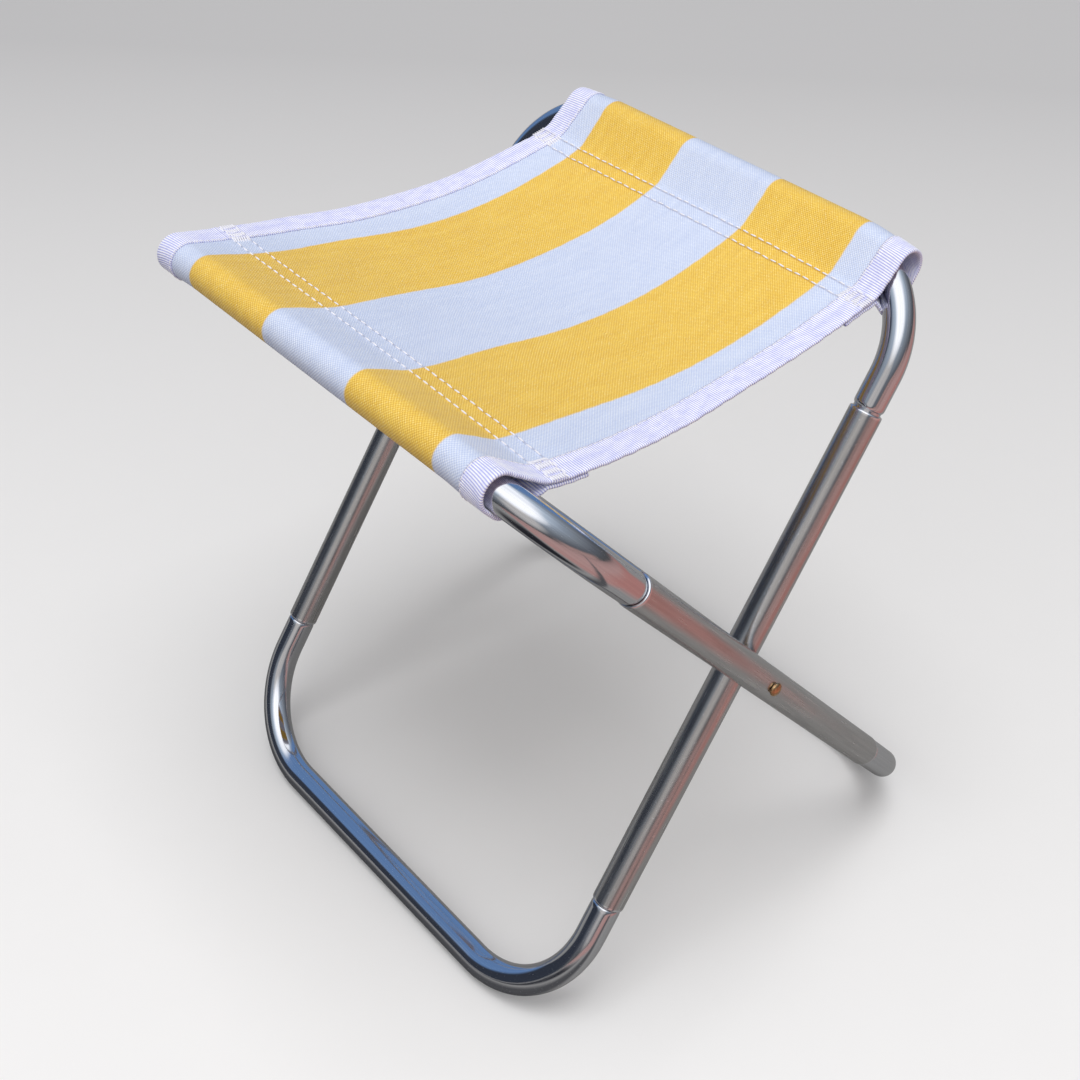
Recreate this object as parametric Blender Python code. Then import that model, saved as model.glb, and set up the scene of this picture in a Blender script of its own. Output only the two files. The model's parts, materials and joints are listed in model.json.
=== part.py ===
"""Folding stool: two tube frames that cross at a pair of rivets, and a cloth seat sleeved over their top bars.

Metres, +Z up. The origin is on the floor in the middle of the footprint. +X runs from the outer frame's seat
bar to the inner frame's seat bar, and +Y runs along the bars, so the left side is +Y and the right side -Y.
"""

import math

import bmesh
import bpy
from mathutils import Matrix, Vector

MM = 0.001
MERGE_DISTANCE = 0.001 * MM

# Open stance
SEAT_BAR_HEIGHT = 331.5 * MM
SEAT_BAR_REACH = 119.5 * MM
FOOT_BAR_REACH = 125.5 * MM
INNER_HALF_WIDTH = 133.6 * MM

# Tubes
BAR_DIAMETER = 15.0 * MM
BAR_WALL = 1.0 * MM
LEG_DIAMETER = 16.0 * MM
LEG_WALL = 1.0 * MM
LEG_RIM_ROUND = 0.6 * MM
SEAT_BEND_RADIUS = 50.0 * MM
FOOT_BEND_RADIUS = 54.0 * MM
SEAT_BAR_TAIL = 66.0 * MM
FOOT_BAR_TAIL = 72.0 * MM
SEAT_JOINT_GROOVE = 1.4 * MM
FOOT_JOINT_GROOVE = 0.5 * MM
SHOULDER_LENGTH = 2.4 * MM
NECK_LENGTH = 20.0 * MM
NECK_LEAD = 1.5 * MM
BAR_SIDES = 16
LEG_SIDES = 20
BEND_STEPS = 7
SHOULDER_STEPS = 3
RIM_STEPS = 2
RIM_WALL_SHARE = 0.8

# Pivots
RIVET_SHANK_DIAMETER = 4.0 * MM
RIVET_HEAD_DIAMETER = 7.0 * MM
RIVET_HEAD_HEIGHT = 2.2 * MM
RIVET_CLINCH_DIAMETER = 6.4 * MM
RIVET_CLINCH_HEIGHT = 1.2 * MM
WASHER_DIAMETER = 12.0 * MM
WASHER_THICKNESS = 0.6 * MM
RIVET_TIP_DIAMETER = 0.3 * MM
ROUND_STEPS = 5

# Seat cloth
CLOTH_THICKNESS = 0.8 * MM
OUTER_SLEEVE_INSET = 28.8 * MM
INNER_SLEEVE_INSET = 19.6 * MM
SEAT_SHIFT = -5.0 * MM
SEAM_FROM_BAR = 19.5 * MM
SEAM_DROP = 4.5 * MM
SEAT_SAG = 16.5 * MM
EDGE_LIFT = 3.0 * MM
HEM_DEPTH = 13.0 * MM
HEM_STEP = 1.5 * MM
SEAM_ROOM = 1.5 * MM
MOUTH_ROOM = 3.0 * MM
STRIPE_WIDTH = 60.0 * MM
STRIPE_HALVES = 3
LOOP_STEPS = 15
PANEL_STEPS = 8
SEAM_LEAD = 0.4
MOUTH_BEND_SHARE = 0.95
MOUTH_BLEND = 9.0 * MM

# Edge tape, folded in half over the cloth
TAPE_WIDTH = 12.5 * MM
TAPE_THICKNESS = 0.5 * MM
TAPE_FROM_SEAM = 2.0 * MM

# Clearances
SEAT_GAP = 0.3 * MM
TAPE_GAP = 0.5 * MM
HOLE_CLEARANCE = 0.3 * MM

# Sizes that follow from those above
BAR_RADIUS = BAR_DIAMETER / 2
LEG_RADIUS = LEG_DIAMETER / 2
LEG_BORE_RADIUS = LEG_RADIUS - LEG_WALL
NECK_RADIUS = LEG_BORE_RADIUS - SEAT_GAP
OUTER_HALF_WIDTH = INNER_HALF_WIDTH + LEG_DIAMETER + WASHER_THICKNESS + 2 * SEAT_GAP
FOOT_BAR_HEIGHT = BAR_RADIUS * math.cos(math.pi / BAR_SIDES)
LEG_RISE = SEAT_BAR_HEIGHT - FOOT_BAR_HEIGHT
LEG_ANGLE = math.atan2(LEG_RISE, SEAT_BAR_REACH + FOOT_BAR_REACH)
FRAME_LEAN = math.pi / 2 - LEG_ANGLE
SEAT_ARM = SEAT_BAR_REACH / math.cos(LEG_ANGLE)
FOOT_ARM = FOOT_BAR_REACH / math.cos(LEG_ANGLE)
PIVOT_HEIGHT = SEAT_BAR_HEIGHT - SEAT_ARM * math.sin(LEG_ANGLE)
HOLE_RADIUS = RIVET_SHANK_DIAMETER / 2 + HOLE_CLEARANCE
SLEEVE_INNER_RADIUS = BAR_RADIUS + SEAT_GAP + TAPE_THICKNESS + TAPE_GAP
SLEEVE_OUTER_RADIUS = SLEEVE_INNER_RADIUS + CLOTH_THICKNESS
SEAM_REACH = BAR_RADIUS + SEAM_FROM_BAR
OUTER_SLEEVE_HALF = OUTER_HALF_WIDTH - OUTER_SLEEVE_INSET
INNER_SLEEVE_HALF = INNER_HALF_WIDTH - INNER_SLEEVE_INSET
PANEL_MIDDLE = SEAT_BAR_REACH - SEAT_GAP / 2
EDGE_INSETS = (0.0, TAPE_WIDTH, TAPE_WIDTH + MOUTH_BLEND)
FOLDED_REACH = SEAM_REACH - 2 * SEAM_ROOM - SLEEVE_OUTER_RADIUS - CLOTH_THICKNESS
FOLDED_TURN = LEG_ANGLE - math.atan2(SEAM_DROP + SEAT_SAG, SEAT_BAR_REACH)


def principled(name, colour, roughness, metallic):
    """A plain finish with one colour."""
    material = bpy.data.materials.new(name)
    material.use_nodes = True
    shader = material.node_tree.nodes["Principled BSDF"]
    shader.inputs["Base Color"].default_value = (*colour, 1.0)
    shader.inputs["Roughness"].default_value = roughness
    shader.inputs["Metallic"].default_value = metallic
    return material


def make_finishes():
    """The finishes, by the name of the material they stand for."""
    return {
        "polished": principled("polished_steel", (0.62, 0.64, 0.67), 0.12, 1.0),
        "satin": principled("satin_steel", (0.48, 0.48, 0.48), 0.34, 1.0),
        "brass": principled("brass", (0.66, 0.46, 0.22), 0.3, 1.0),
        "nylon": principled("nylon", (0.06, 0.06, 0.065), 0.5, 0.0),
        "yellow": principled("yellow_cloth", (0.80, 0.50, 0.08), 0.8, 0.0),
        "white": principled("white_cloth", (0.69, 0.75, 0.88), 0.8, 0.0),
        "tape": principled("ribbed_tape", (0.74, 0.74, 0.88), 0.75, 0.0),
    }


def empty_at(name, position, lean=0.0, parent=None):
    """An empty that carries pieces, at a point in the open stool, leaning about the Y axis."""
    empty = bpy.data.objects.new(name, None)
    bpy.context.collection.objects.link(empty)
    place = Matrix.Translation(position) @ Matrix.Rotation(lean, 4, "Y")
    if parent:
        empty.parent = parent
        empty.matrix_parent_inverse = parent.matrix_world.inverted()
    empty.matrix_world = place
    bpy.context.view_layer.update()
    return empty


def finish_piece(name, shape, carrier, materials, sharp_angle=40.0):
    """Turns a bmesh into a named object under its carrier, facing out and shaded smooth."""
    bmesh.ops.remove_doubles(shape, verts=shape.verts, dist=MERGE_DISTANCE)
    bmesh.ops.recalc_face_normals(shape, faces=shape.faces)
    mesh = bpy.data.meshes.new(name)
    shape.to_mesh(mesh)
    shape.free()
    mesh.shade_smooth()
    mesh.set_sharp_from_angle(angle=math.radians(sharp_angle))
    for material in materials:
        mesh.materials.append(material)
    piece = bpy.data.objects.new(name, mesh)
    bpy.context.collection.objects.link(piece)
    piece.parent = carrier
    return piece


def join_rings(shape, rings, closed=False, other_diagonal=None):
    """Facets between neighbouring rings of equal length; closed also joins the last ring to the first.

    other_diagonal says, for a place on the ring, whether its four-sided patch is split along the second diagonal.
    """
    pairs = list(zip(rings, rings[1:]))
    if closed:
        pairs.append((rings[-1], rings[0]))
    for first, second in pairs:
        for index, corner in enumerate(first):
            following = (index + 1) % len(first)
            patch = [corner, first[following], second[following], second[index]]
            if other_diagonal and other_diagonal(index):
                patch = [*patch[1:], corner]
            shape.faces.new(patch[:3])
            shape.faces.new((patch[0], patch[2], patch[3]))


def turned(name, profile, sides, matrix, carrier, material):
    """A turned piece: a closed outline of (distance along the axis, radius), spun about local Z of the matrix."""
    shape = bmesh.new()
    rings = []
    for index in range(sides):
        angle = 2 * math.pi * index / sides
        turn = Vector((math.cos(angle), math.sin(angle), 0.0))
        rings.append([shape.verts.new(matrix @ (turn * r + Vector((0, 0, z)))) for z, r in profile])
    join_rings(shape, rings, closed=True)
    return finish_piece(name, shape, carrier, [material])


class UPath:
    """The axis of a U-shaped tube in its frame's plane: tail, bend, bar, bend and tail, as distance along it."""

    def __init__(self, half_width, bend_radius, tail, bar_z, tail_sign):
        self.half_width = half_width
        self.bend = bend_radius
        self.bar_z = bar_z
        self.tail_sign = tail_sign
        self.arm = tail - bend_radius
        self.arc = bend_radius * math.pi / 2
        self.bar = 2 * (half_width - bend_radius)
        self.length = 2 * (self.arm + self.arc) + self.bar

    def at(self, distance):
        """Point and direction at a distance from the right tail's shoulder end, negative inside the neck."""
        if distance > self.length / 2:
            point, direction = self.at(self.length - distance)
            return Vector((0, -point.y, point.z)), Vector((0, direction.y, -direction.z))
        up = -self.tail_sign
        y_arm = -self.half_width
        if distance < self.arm:
            depth = self.bend + self.arm - distance
            return Vector((0, y_arm, self.bar_z - up * depth)), Vector((0, 0, up))
        if distance < self.arm + self.arc:
            angle = (distance - self.arm) / self.bend
            y = y_arm + self.bend * (1 - math.cos(angle))
            depth = self.bend * (1 - math.sin(angle))
            return Vector((0, y, self.bar_z - up * depth)), Vector((0, math.sin(angle), up * math.cos(angle)))
        along = distance - self.arm - self.arc
        return Vector((0, y_arm + self.bend + along, self.bar_z)), Vector((0, 1, 0))

    def bend_distances(self):
        """Where rings stand round the first bend."""
        return [self.arm + self.arc * step / BEND_STEPS for step in range(BEND_STEPS + 1)]


def mirrored(path, half):
    """The stations of one half of the tube, and their mirror images on the other half."""
    return half + [(path.length - distance, radius) for distance, radius in reversed(half)]


def bar_outside(path):
    """Outer stations: neck with a lead-in, bull-nosed shoulder, and the full tube round the bend."""
    stations = [(-NECK_LENGTH, NECK_RADIUS - BAR_WALL / 2), (-NECK_LENGTH + NECK_LEAD, NECK_RADIUS)]
    for step in range(SHOULDER_STEPS + 1):
        angle = math.pi / 2 * step / SHOULDER_STEPS
        radius = NECK_RADIUS + (BAR_RADIUS - NECK_RADIUS) * math.sin(angle)
        stations.append((SHOULDER_LENGTH * (1 - math.cos(angle)), radius))
    stations += [(distance, BAR_RADIUS) for distance in path.bend_distances()]
    return mirrored(path, stations)


def bar_inside(path):
    """Inner stations: the bore of the neck, and the wider bore of the tube behind its shoulder."""
    stations = [(-NECK_LENGTH, NECK_RADIUS - BAR_WALL), (0.0, NECK_RADIUS - BAR_WALL)]
    stations.append((SHOULDER_LENGTH + BAR_WALL, BAR_RADIUS - BAR_WALL))
    stations += [(distance, BAR_RADIUS - BAR_WALL) for distance in path.bend_distances()]
    return mirrored(path, stations)


def sweep(shape, path, stations, phase):
    """Rings of a tube along the path, with one flat side turned to the phase angle."""
    rings = []
    for distance, radius in stations:
        point, direction = path.at(distance)
        normal = Vector((1, 0, 0))
        other = direction.cross(normal)
        ring = []
        for index in range(BAR_SIDES):
            angle = phase + (index + 0.5) * 2 * math.pi / BAR_SIDES
            ring.append(shape.verts.new(point + radius * (math.cos(angle) * normal + math.sin(angle) * other)))
        rings.append(ring)
    join_rings(shape, rings)
    return rings


def make_bar(name, path, floor_phase, carrier, material):
    """A bent tube with necked ends, open at both ends, with a flat side facing the floor."""
    shape = bmesh.new()
    outside = sweep(shape, path, bar_outside(path), floor_phase)
    inside = sweep(shape, path, bar_inside(path), floor_phase)
    for end in (0, -1):
        join_rings(shape, [outside[end], inside[end]])
    return finish_piece(name, shape, carrier, [material])


def leg_rim(end, sign):
    """The rounded outer edge of a side tube's end, from the tube's side to its end face."""
    round_off = min(LEG_RIM_ROUND, RIM_WALL_SHARE * LEG_WALL)
    points = []
    for step in range(RIM_STEPS + 1):
        angle = math.pi / 2 * step / RIM_STEPS
        along = end - sign * round_off * (1 - math.sin(angle))
        points.append((along, LEG_RADIUS - round_off * (1 - math.cos(angle))))
    return points


def make_leg(name, y, hole_cutter, carrier, material):
    """A straight side tube with rounded rims, cross-drilled for its rivet."""
    top = SEAT_ARM - SEAT_BAR_TAIL - SEAT_JOINT_GROOVE
    bottom = -FOOT_ARM + FOOT_BAR_TAIL + FOOT_JOINT_GROOVE
    profile = leg_rim(top, 1) + [(top, LEG_BORE_RADIUS), (bottom, LEG_BORE_RADIUS)]
    profile += reversed(leg_rim(bottom, -1))
    leg = turned(name, profile, LEG_SIDES, Matrix.Translation((0, y, 0)), carrier, material)
    cut = leg.modifiers.new("rivet_hole", "BOOLEAN")
    cut.operation = "DIFFERENCE"
    cut.object = hole_cutter
    return leg


def along_y(side):
    """Places a turned piece's axis along Y at the pivot, pointing out of the stool on that side."""
    return Matrix.Rotation(-side * math.pi / 2, 4, "X")


def make_hole_cutter(name, side, carrier):
    """The drill that passes through both legs of one side."""
    reach = OUTER_HALF_WIDTH + LEG_DIAMETER
    start = INNER_HALF_WIDTH - LEG_DIAMETER
    shape = bmesh.new()
    rings = []
    for distance in (start, reach):
        ring = []
        for index in range(LEG_SIDES):
            angle = 2 * math.pi * index / LEG_SIDES
            point = Vector((HOLE_RADIUS * math.cos(angle), HOLE_RADIUS * math.sin(angle), distance))
            ring.append(shape.verts.new(along_y(side) @ point))
        rings.append(ring)
        shape.faces.new(ring)
    join_rings(shape, rings)
    cutter = finish_piece(name, shape, carrier, [])
    cutter.hide_render = True
    cutter.display_type = "WIRE"
    return cutter


def make_rivet(name, side, carrier, material):
    """A hollow-ended rivet through both legs: domed head outside, and its end rolled over on the inner leg."""
    seat = OUTER_HALF_WIDTH + LEG_RADIUS + SEAT_GAP
    clinch = INNER_HALF_WIDTH - LEG_RADIUS - SEAT_GAP
    shank = RIVET_SHANK_DIAMETER / 2
    head = RIVET_HEAD_DIAMETER / 2
    rolled = RIVET_CLINCH_DIAMETER / 2
    bore = shank / 2
    profile = []
    for step in range(ROUND_STEPS + 1):
        angle = math.pi / 2 * step / ROUND_STEPS
        radius = max(head * math.sin(angle), RIVET_TIP_DIAMETER / 2)
        profile.append((seat + RIVET_HEAD_HEIGHT * math.cos(angle), radius))
    profile += [(seat, shank), (clinch, shank)]
    for step in range(ROUND_STEPS + 1):
        angle = math.pi * step / ROUND_STEPS
        radius = (rolled + bore) / 2 + (rolled - bore) / 2 * math.cos(angle)
        profile.append((clinch - RIVET_CLINCH_HEIGHT * math.sin(angle), radius))
    return capped_turning(name, profile, along_y(side), carrier, material)


def capped_turning(name, profile, matrix, carrier, material):
    """A turned piece with no bore: the outline's two ends are closed by small flat caps."""
    shape = bmesh.new()
    rings = []
    for z, r in profile:
        ring = []
        for index in range(LEG_SIDES):
            angle = 2 * math.pi * index / LEG_SIDES
            ring.append(shape.verts.new(matrix @ Vector((r * math.cos(angle), r * math.sin(angle), z))))
        rings.append(ring)
    join_rings(shape, rings)
    shape.faces.new(rings[0])
    shape.faces.new(rings[-1])
    return finish_piece(name, shape, carrier, [material])


def make_washer(name, side, carrier, material):
    """A flat washer between the two legs of one side."""
    start = INNER_HALF_WIDTH + LEG_RADIUS + SEAT_GAP
    end = start + WASHER_THICKNESS
    profile = [(end, WASHER_DIAMETER / 2), (end, HOLE_RADIUS), (start, HOLE_RADIUS), (start, WASHER_DIAMETER / 2)]
    return turned(name, profile, LEG_SIDES, along_y(side), carrier, material)


def floor_phase(lean):
    """The ring angle, in a leaning frame, at which a tube's side faces straight down."""
    down = Matrix.Rotation(-lean, 3, "Y") @ Vector((0, 0, -1))
    along = Vector((0, 1, 0))
    normal = Vector((1, 0, 0))
    return math.atan2(down.dot(along.cross(normal)), down.dot(normal))


def make_frame(name, half_width, lean, carrier, cutters, finishes):
    """One frame: a seat bar and a foot bar necked into two side tubes."""
    seat_path = UPath(half_width, SEAT_BEND_RADIUS, SEAT_BAR_TAIL, SEAT_ARM, -1)
    foot_path = UPath(half_width, FOOT_BEND_RADIUS, FOOT_BAR_TAIL, -FOOT_ARM, 1)
    phase = floor_phase(lean)
    make_bar(f"{name}_seat_bar", seat_path, phase, carrier, finishes["polished"])
    make_bar(f"{name}_foot_bar", foot_path, phase, carrier, finishes["polished"])
    for side_name, side in (("left", 1), ("right", -1)):
        make_leg(f"{name}_{side_name}_leg", side * half_width, cutters[side], carrier, finishes["satin"])


class SeatHalf:
    """Half of the seat cloth: the sleeve round one seat bar, its seam, and the sagging panel to the middle.

    Sections are drawn in (u, w), from the bar's axis: u towards the middle of the seat and w up.
    """

    def __init__(self, sleeve_half, frame_half_width, direction):
        self.sleeve_half = sleeve_half
        self.middle_half = (OUTER_SLEEVE_HALF + INNER_SLEEVE_HALF) / 2
        self.straight_half = frame_half_width - SEAT_BEND_RADIUS
        self.direction = direction

    def half_width(self, u):
        """Half of the cloth's width at a distance from the bar: even along the sleeve, then drawn to the middle's."""
        share = min(max((u - SEAM_REACH) / (PANEL_MIDDLE - SEAM_REACH), 0.0), 1.0)
        return self.sleeve_half + (self.middle_half - self.sleeve_half) * share

    def top(self, u, y):
        """Height of the panel's upper face: a parabola from the seam to the middle, with its edges drawn tighter."""
        from_middle = (SEAT_BAR_REACH - u) / (SEAT_BAR_REACH - SEAM_REACH)
        sag = SEAT_SAG * (1 - from_middle**2)
        edge = abs(y - SEAT_SHIFT) / self.half_width(u)
        return -SEAM_DROP - sag + EDGE_LIFT * (1 - from_middle**2) * edge**3

    def thickness(self, u):
        """Two layers as far as the hem reaches, then one."""
        past_hem = (u - SEAM_REACH - HEM_DEPTH) / HEM_STEP
        return CLOTH_THICKNESS * (2 - min(max(past_hem, 0.0), 1.0))

    def panel_stations(self):
        """Distances from the bar along the panel, from the seam to the middle."""
        hem_end = SEAM_REACH + HEM_DEPTH
        open_part = PANEL_MIDDLE - hem_end - HEM_STEP
        rest = [hem_end + HEM_STEP + open_part * step / PANEL_STEPS for step in range(PANEL_STEPS + 1)]
        return [SEAM_REACH, SEAM_REACH + HEM_DEPTH / 2, hem_end, *rest]

    def bar_offsets(self, y):
        """Centres that the sleeve has room for at y: the bar where it is straight, and where it bends away.

        The bend is met twice, once with the stool open and once with the cloth hanging along the folded legs.
        """
        past = min(max(abs(y) + MOUTH_ROOM - self.straight_half, 0.0), MOUTH_BEND_SHARE * SEAT_BEND_RADIUS)
        slope = math.asin(past / SEAT_BEND_RADIUS)
        drop = SEAT_BEND_RADIUS * (1 - math.cos(slope)) + BAR_RADIUS * (1 / math.cos(slope) - 1)
        folded_drop = min(drop, FOLDED_REACH)
        folded_angle = LEG_ANGLE - FOLDED_TURN
        return [
            Vector((0.0, 0.0)),
            drop * Vector((math.cos(LEG_ANGLE), -math.sin(LEG_ANGLE))),
            folded_drop * Vector((math.cos(folded_angle), -math.sin(folded_angle))),
        ]

    def loop(self, y, radius, upper_end, lower_end):
        """Outline of the sleeve at y, stretched round the bar's places and drawn in to the seam's two ends."""
        centres = self.bar_offsets(y)
        first = min(self.tangent_angle(c, upper_end, radius, 1) for c in centres)
        last = max(self.tangent_angle(c, lower_end, radius, -1) for c in centres) + 2 * math.pi
        points = []
        for step in range(LOOP_STEPS + 1):
            angle = first + (last - first) * step / LOOP_STEPS
            normal = Vector((math.cos(angle), math.sin(angle)))
            centre = max(centres, key=lambda c: c.dot(normal))
            points.append(centre + radius * normal)
        points.insert(0, upper_end.lerp(points[0], SEAM_LEAD))
        points.append(lower_end.lerp(points[-1], SEAM_LEAD))
        return points

    @staticmethod
    def tangent_angle(centre, end, radius, sign):
        """Direction from a circle's centre to where a line from the end point touches it."""
        away = end - centre
        return math.atan2(away.y, away.x) + sign * math.acos(min(radius / away.length, 1.0))

    def outer_loop(self, y):
        """The sleeve's outer face, from the top of the seam round to its underside."""
        height = self.top(SEAM_REACH, y)
        upper_end = Vector((SEAM_REACH, height))
        lower_end = Vector((SEAM_REACH, height - 2 * CLOTH_THICKNESS))
        return self.loop(y, SLEEVE_OUTER_RADIUS, upper_end, lower_end)

    def seam_point(self, y):
        """Where the sleeve's inner faces meet."""
        return Vector((SEAM_REACH - 2 * SEAM_ROOM, self.top(SEAM_REACH, y) - CLOTH_THICKNESS))

    def inner_loop(self, y):
        """The sleeve's inner face, from the seam round and back to it."""
        point = self.seam_point(y)
        return self.loop(y, SLEEVE_INNER_RADIUS, point, point)

    def edge_y(self, u, side):
        """Where the cloth's side edge lies."""
        return SEAT_SHIFT + side * self.half_width(u)

    def across(self):
        """The stations across the cloth, as functions of u: close together by the edges, on the stripes between."""
        deepest = EDGE_INSETS[-1]
        limit = min(self.sleeve_half, self.middle_half) - deepest - abs(SEAT_SHIFT)
        half_stripes = range(-STRIPE_HALVES, STRIPE_HALVES + 1)
        inner = [k * STRIPE_WIDTH / 2 for k in half_stripes if abs(k) * STRIPE_WIDTH / 2 < limit]
        right = [lambda u, inset=inset: self.edge_y(u, -1) + inset for inset in EDGE_INSETS]
        left = [lambda u, inset=inset: self.edge_y(u, 1) - inset for inset in reversed(EDGE_INSETS)]
        return right + [lambda u, y=y: y for y in inner] + left

    def corner(self, shape, u, y, w):
        """A vertex of the half, drawn from the bar's axis."""
        return shape.verts.new((self.direction * u, y, w))

    def section(self, shape, station):
        """Vertices of one section: panel top, outer sleeve, panel underside, inner sleeve and seam point."""
        stations = self.panel_stations()
        top = [self.corner(shape, u, station(u), self.top(u, station(u))) for u in stations]
        under = []
        for u in stations:
            under.append(self.corner(shape, u, station(u), self.top(u, station(u)) - self.thickness(u)))
        y = station(0.0)
        outer = [self.corner(shape, p.x, station(p.x), p.y) for p in self.outer_loop(y)]
        inner = [self.corner(shape, p.x, station(p.x), p.y) for p in self.inner_loop(y)]
        seam = self.seam_point(y)
        return top, outer, under, inner, self.corner(shape, seam.x, station(seam.x), seam.y)

    def close_end(self, shape, section):
        """Faces that close the cloth at a side edge."""
        top, outer, under, inner, seam = section
        for index in range(len(top) - 1):
            shape.faces.new((top[index], top[index + 1], under[index + 1], under[index]))
        ring = [top[0], *outer, under[0]]
        hole = [seam, *inner, seam]
        for index in range(len(outer) + 1):
            corners = [ring[index], ring[index + 1], hole[index + 1], hole[index]]
            shape.faces.new(corners)
        shape.faces.new((top[0], seam, under[0]))

    def build(self, name, carrier, finishes):
        """The cloth as one closed sheet with its sleeve open at both ends."""
        shape = bmesh.new()
        sections = [self.section(shape, station) for station in self.across()]
        around = []
        holes = []
        for top, outer, under, inner, seam in sections:
            around.append([*reversed(top), *outer, *under])
            holes.append([seam, *inner])
        join_rings(shape, around)
        join_rings(shape, holes)
        self.close_end(shape, sections[0])
        self.close_end(shape, sections[-1])
        for face in shape.faces:
            stripe = abs(face.calc_center_median().y) / STRIPE_WIDTH
            face.material_index = 0 if 0.5 < stripe < 1.5 else 1
        return finish_piece(name, shape, carrier, [finishes["yellow"], finishes["white"]], sharp_angle=60.0)

    def tape_section(self, edge, side, upper, lower, place):
        """Eight corners of the folded tape over an edge: its outer face, then its inner face against the cloth.

        upper and lower give the cloth's two faces at a y; place turns (y, face, distance from it) into a point.
        """
        inset = edge - side * TAPE_WIDTH
        near = TAPE_GAP
        far = TAPE_GAP + TAPE_THICKNESS
        outline = [
            (inset, upper, far),
            (edge + side * far, upper, far),
            (edge + side * far, lower, -far),
            (inset, lower, -far),
            (inset, lower, -near),
            (edge + side * near, lower, -near),
            (edge + side * near, upper, near),
            (inset, upper, near),
        ]
        return [place(y, face, distance) for y, face, distance in outline]

    def build_tape(self, name, rings_of, side, carrier, material):
        """A folded tape swept through its sections and closed at both ends.

        Its facets are split the same way as those of the cloth under it, so that the two stay parallel.
        """
        shape = bmesh.new()
        rings = [[shape.verts.new(corner) for corner in ring] for ring in rings_of]
        join_rings(shape, rings, other_diagonal=lambda index: ((index // 2) % 2 == 0) == (side < 0))
        for ring in (rings[0], rings[-1]):
            for first, second in ((0, 1), (1, 2), (2, 3)):
                shape.faces.new((ring[first], ring[second], ring[7 - second], ring[7 - first]))
        return finish_piece(name, shape, carrier, [material])

    def edge_tape(self, name, side, carrier, material):
        """The tape along the panel's side edge, from the seam to the middle."""
        rings = []
        for u in [SEAM_REACH + TAPE_FROM_SEAM, *self.panel_stations()[1:]]:
            edge = self.edge_y(u, side)

            def upper(y, u=u):
                return self.top(u, y)

            def lower(y, u=u):
                return self.top(u, y) - self.thickness(u)

            def place(y, face, distance, u=u):
                return Vector((self.direction * u, y, face(y) + distance))

            rings.append(self.tape_section(edge, side, upper, lower, place))
        return self.build_tape(name, rings, side, carrier, material)

    def mouth_tape(self, name, side, carrier, material):
        """The tape round the sleeve's open end."""
        edge = self.edge_y(0.0, side)
        outlines = {}
        for y in (edge, edge - side * TAPE_WIDTH):
            outlines[y] = (self.outer_loop(y), self.inner_loop(y))
        rings = []
        for index in range(1, len(outlines[edge][0]) - 1):

            def along(y, layer, distance, index=index):
                at_edge = abs(y - edge) < TAPE_WIDTH / 2
                loop = outlines[edge if at_edge else edge - side * TAPE_WIDTH][layer]
                tangent = (loop[index + 1] - loop[index - 1]).normalized()
                point = loop[index] + distance * Vector((tangent.y, -tangent.x))
                return Vector((self.direction * point.x, y, point.y))

            rings.append(self.tape_section(edge, side, 0, 1, along))
        return self.build_tape(name, rings, side, carrier, material)


def make_seat_half(name, half, carrier, finishes):
    """One half of the seat: its cloth, the tape along both edges and the tape round both sleeve mouths."""
    half.build(f"{name}_seat_cloth", carrier, finishes)
    for side_name, side in (("left", 1), ("right", -1)):
        half.edge_tape(f"{name}_{side_name}_edge_tape", side, carrier, finishes["tape"])
        half.mouth_tape(f"{name}_{side_name}_mouth_tape", side, carrier, finishes["tape"])


def clear_scene():
    """Removes what the scene holds."""
    for item in list(bpy.data.objects):
        bpy.data.objects.remove(item, do_unlink=True)


def main():
    """Builds the stool, open, in its own frame."""
    clear_scene()
    finishes = make_finishes()
    pivot = Vector((0, 0, PIVOT_HEIGHT))
    outer_frame = empty_at("outer_frame", pivot, -FRAME_LEAN)
    inner_frame = empty_at("inner_frame", pivot, FRAME_LEAN)
    rivets = empty_at("rivet_axis", pivot, 0.0, outer_frame)
    cutters = {side: make_hole_cutter(f"hole_cutter_{side}", side, rivets) for side in (1, -1)}
    make_frame("outer", OUTER_HALF_WIDTH, -FRAME_LEAN, outer_frame, cutters, finishes)
    make_frame("inner", INNER_HALF_WIDTH, FRAME_LEAN, inner_frame, cutters, finishes)
    for side_name, side in (("left", 1), ("right", -1)):
        make_rivet(f"{side_name}_rivet", side, rivets, finishes["brass"])
        make_washer(f"{side_name}_pivot_washer", side, rivets, finishes["nylon"])
    outer_bar = empty_at("outer_sleeve_axis", (-SEAT_BAR_REACH, 0, SEAT_BAR_HEIGHT), 0.0, outer_frame)
    inner_bar = empty_at("inner_sleeve_axis", (SEAT_BAR_REACH, 0, SEAT_BAR_HEIGHT), 0.0, inner_frame)
    make_seat_half("outer", SeatHalf(OUTER_SLEEVE_HALF, OUTER_HALF_WIDTH, 1), outer_bar, finishes)
    make_seat_half("inner", SeatHalf(INNER_SLEEVE_HALF, INNER_HALF_WIDTH, -1), inner_bar, finishes)
    bpy.context.view_layer.update()


main()
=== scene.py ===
"""A low folding stool, two crossed tube frames and a striped cloth seat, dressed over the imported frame."""

import json
import logging
import math
from dataclasses import dataclass
from enum import Enum, IntEnum
from typing import Optional, Union

import bpy
import numpy as np
from mathutils import Matrix, Vector


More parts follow.
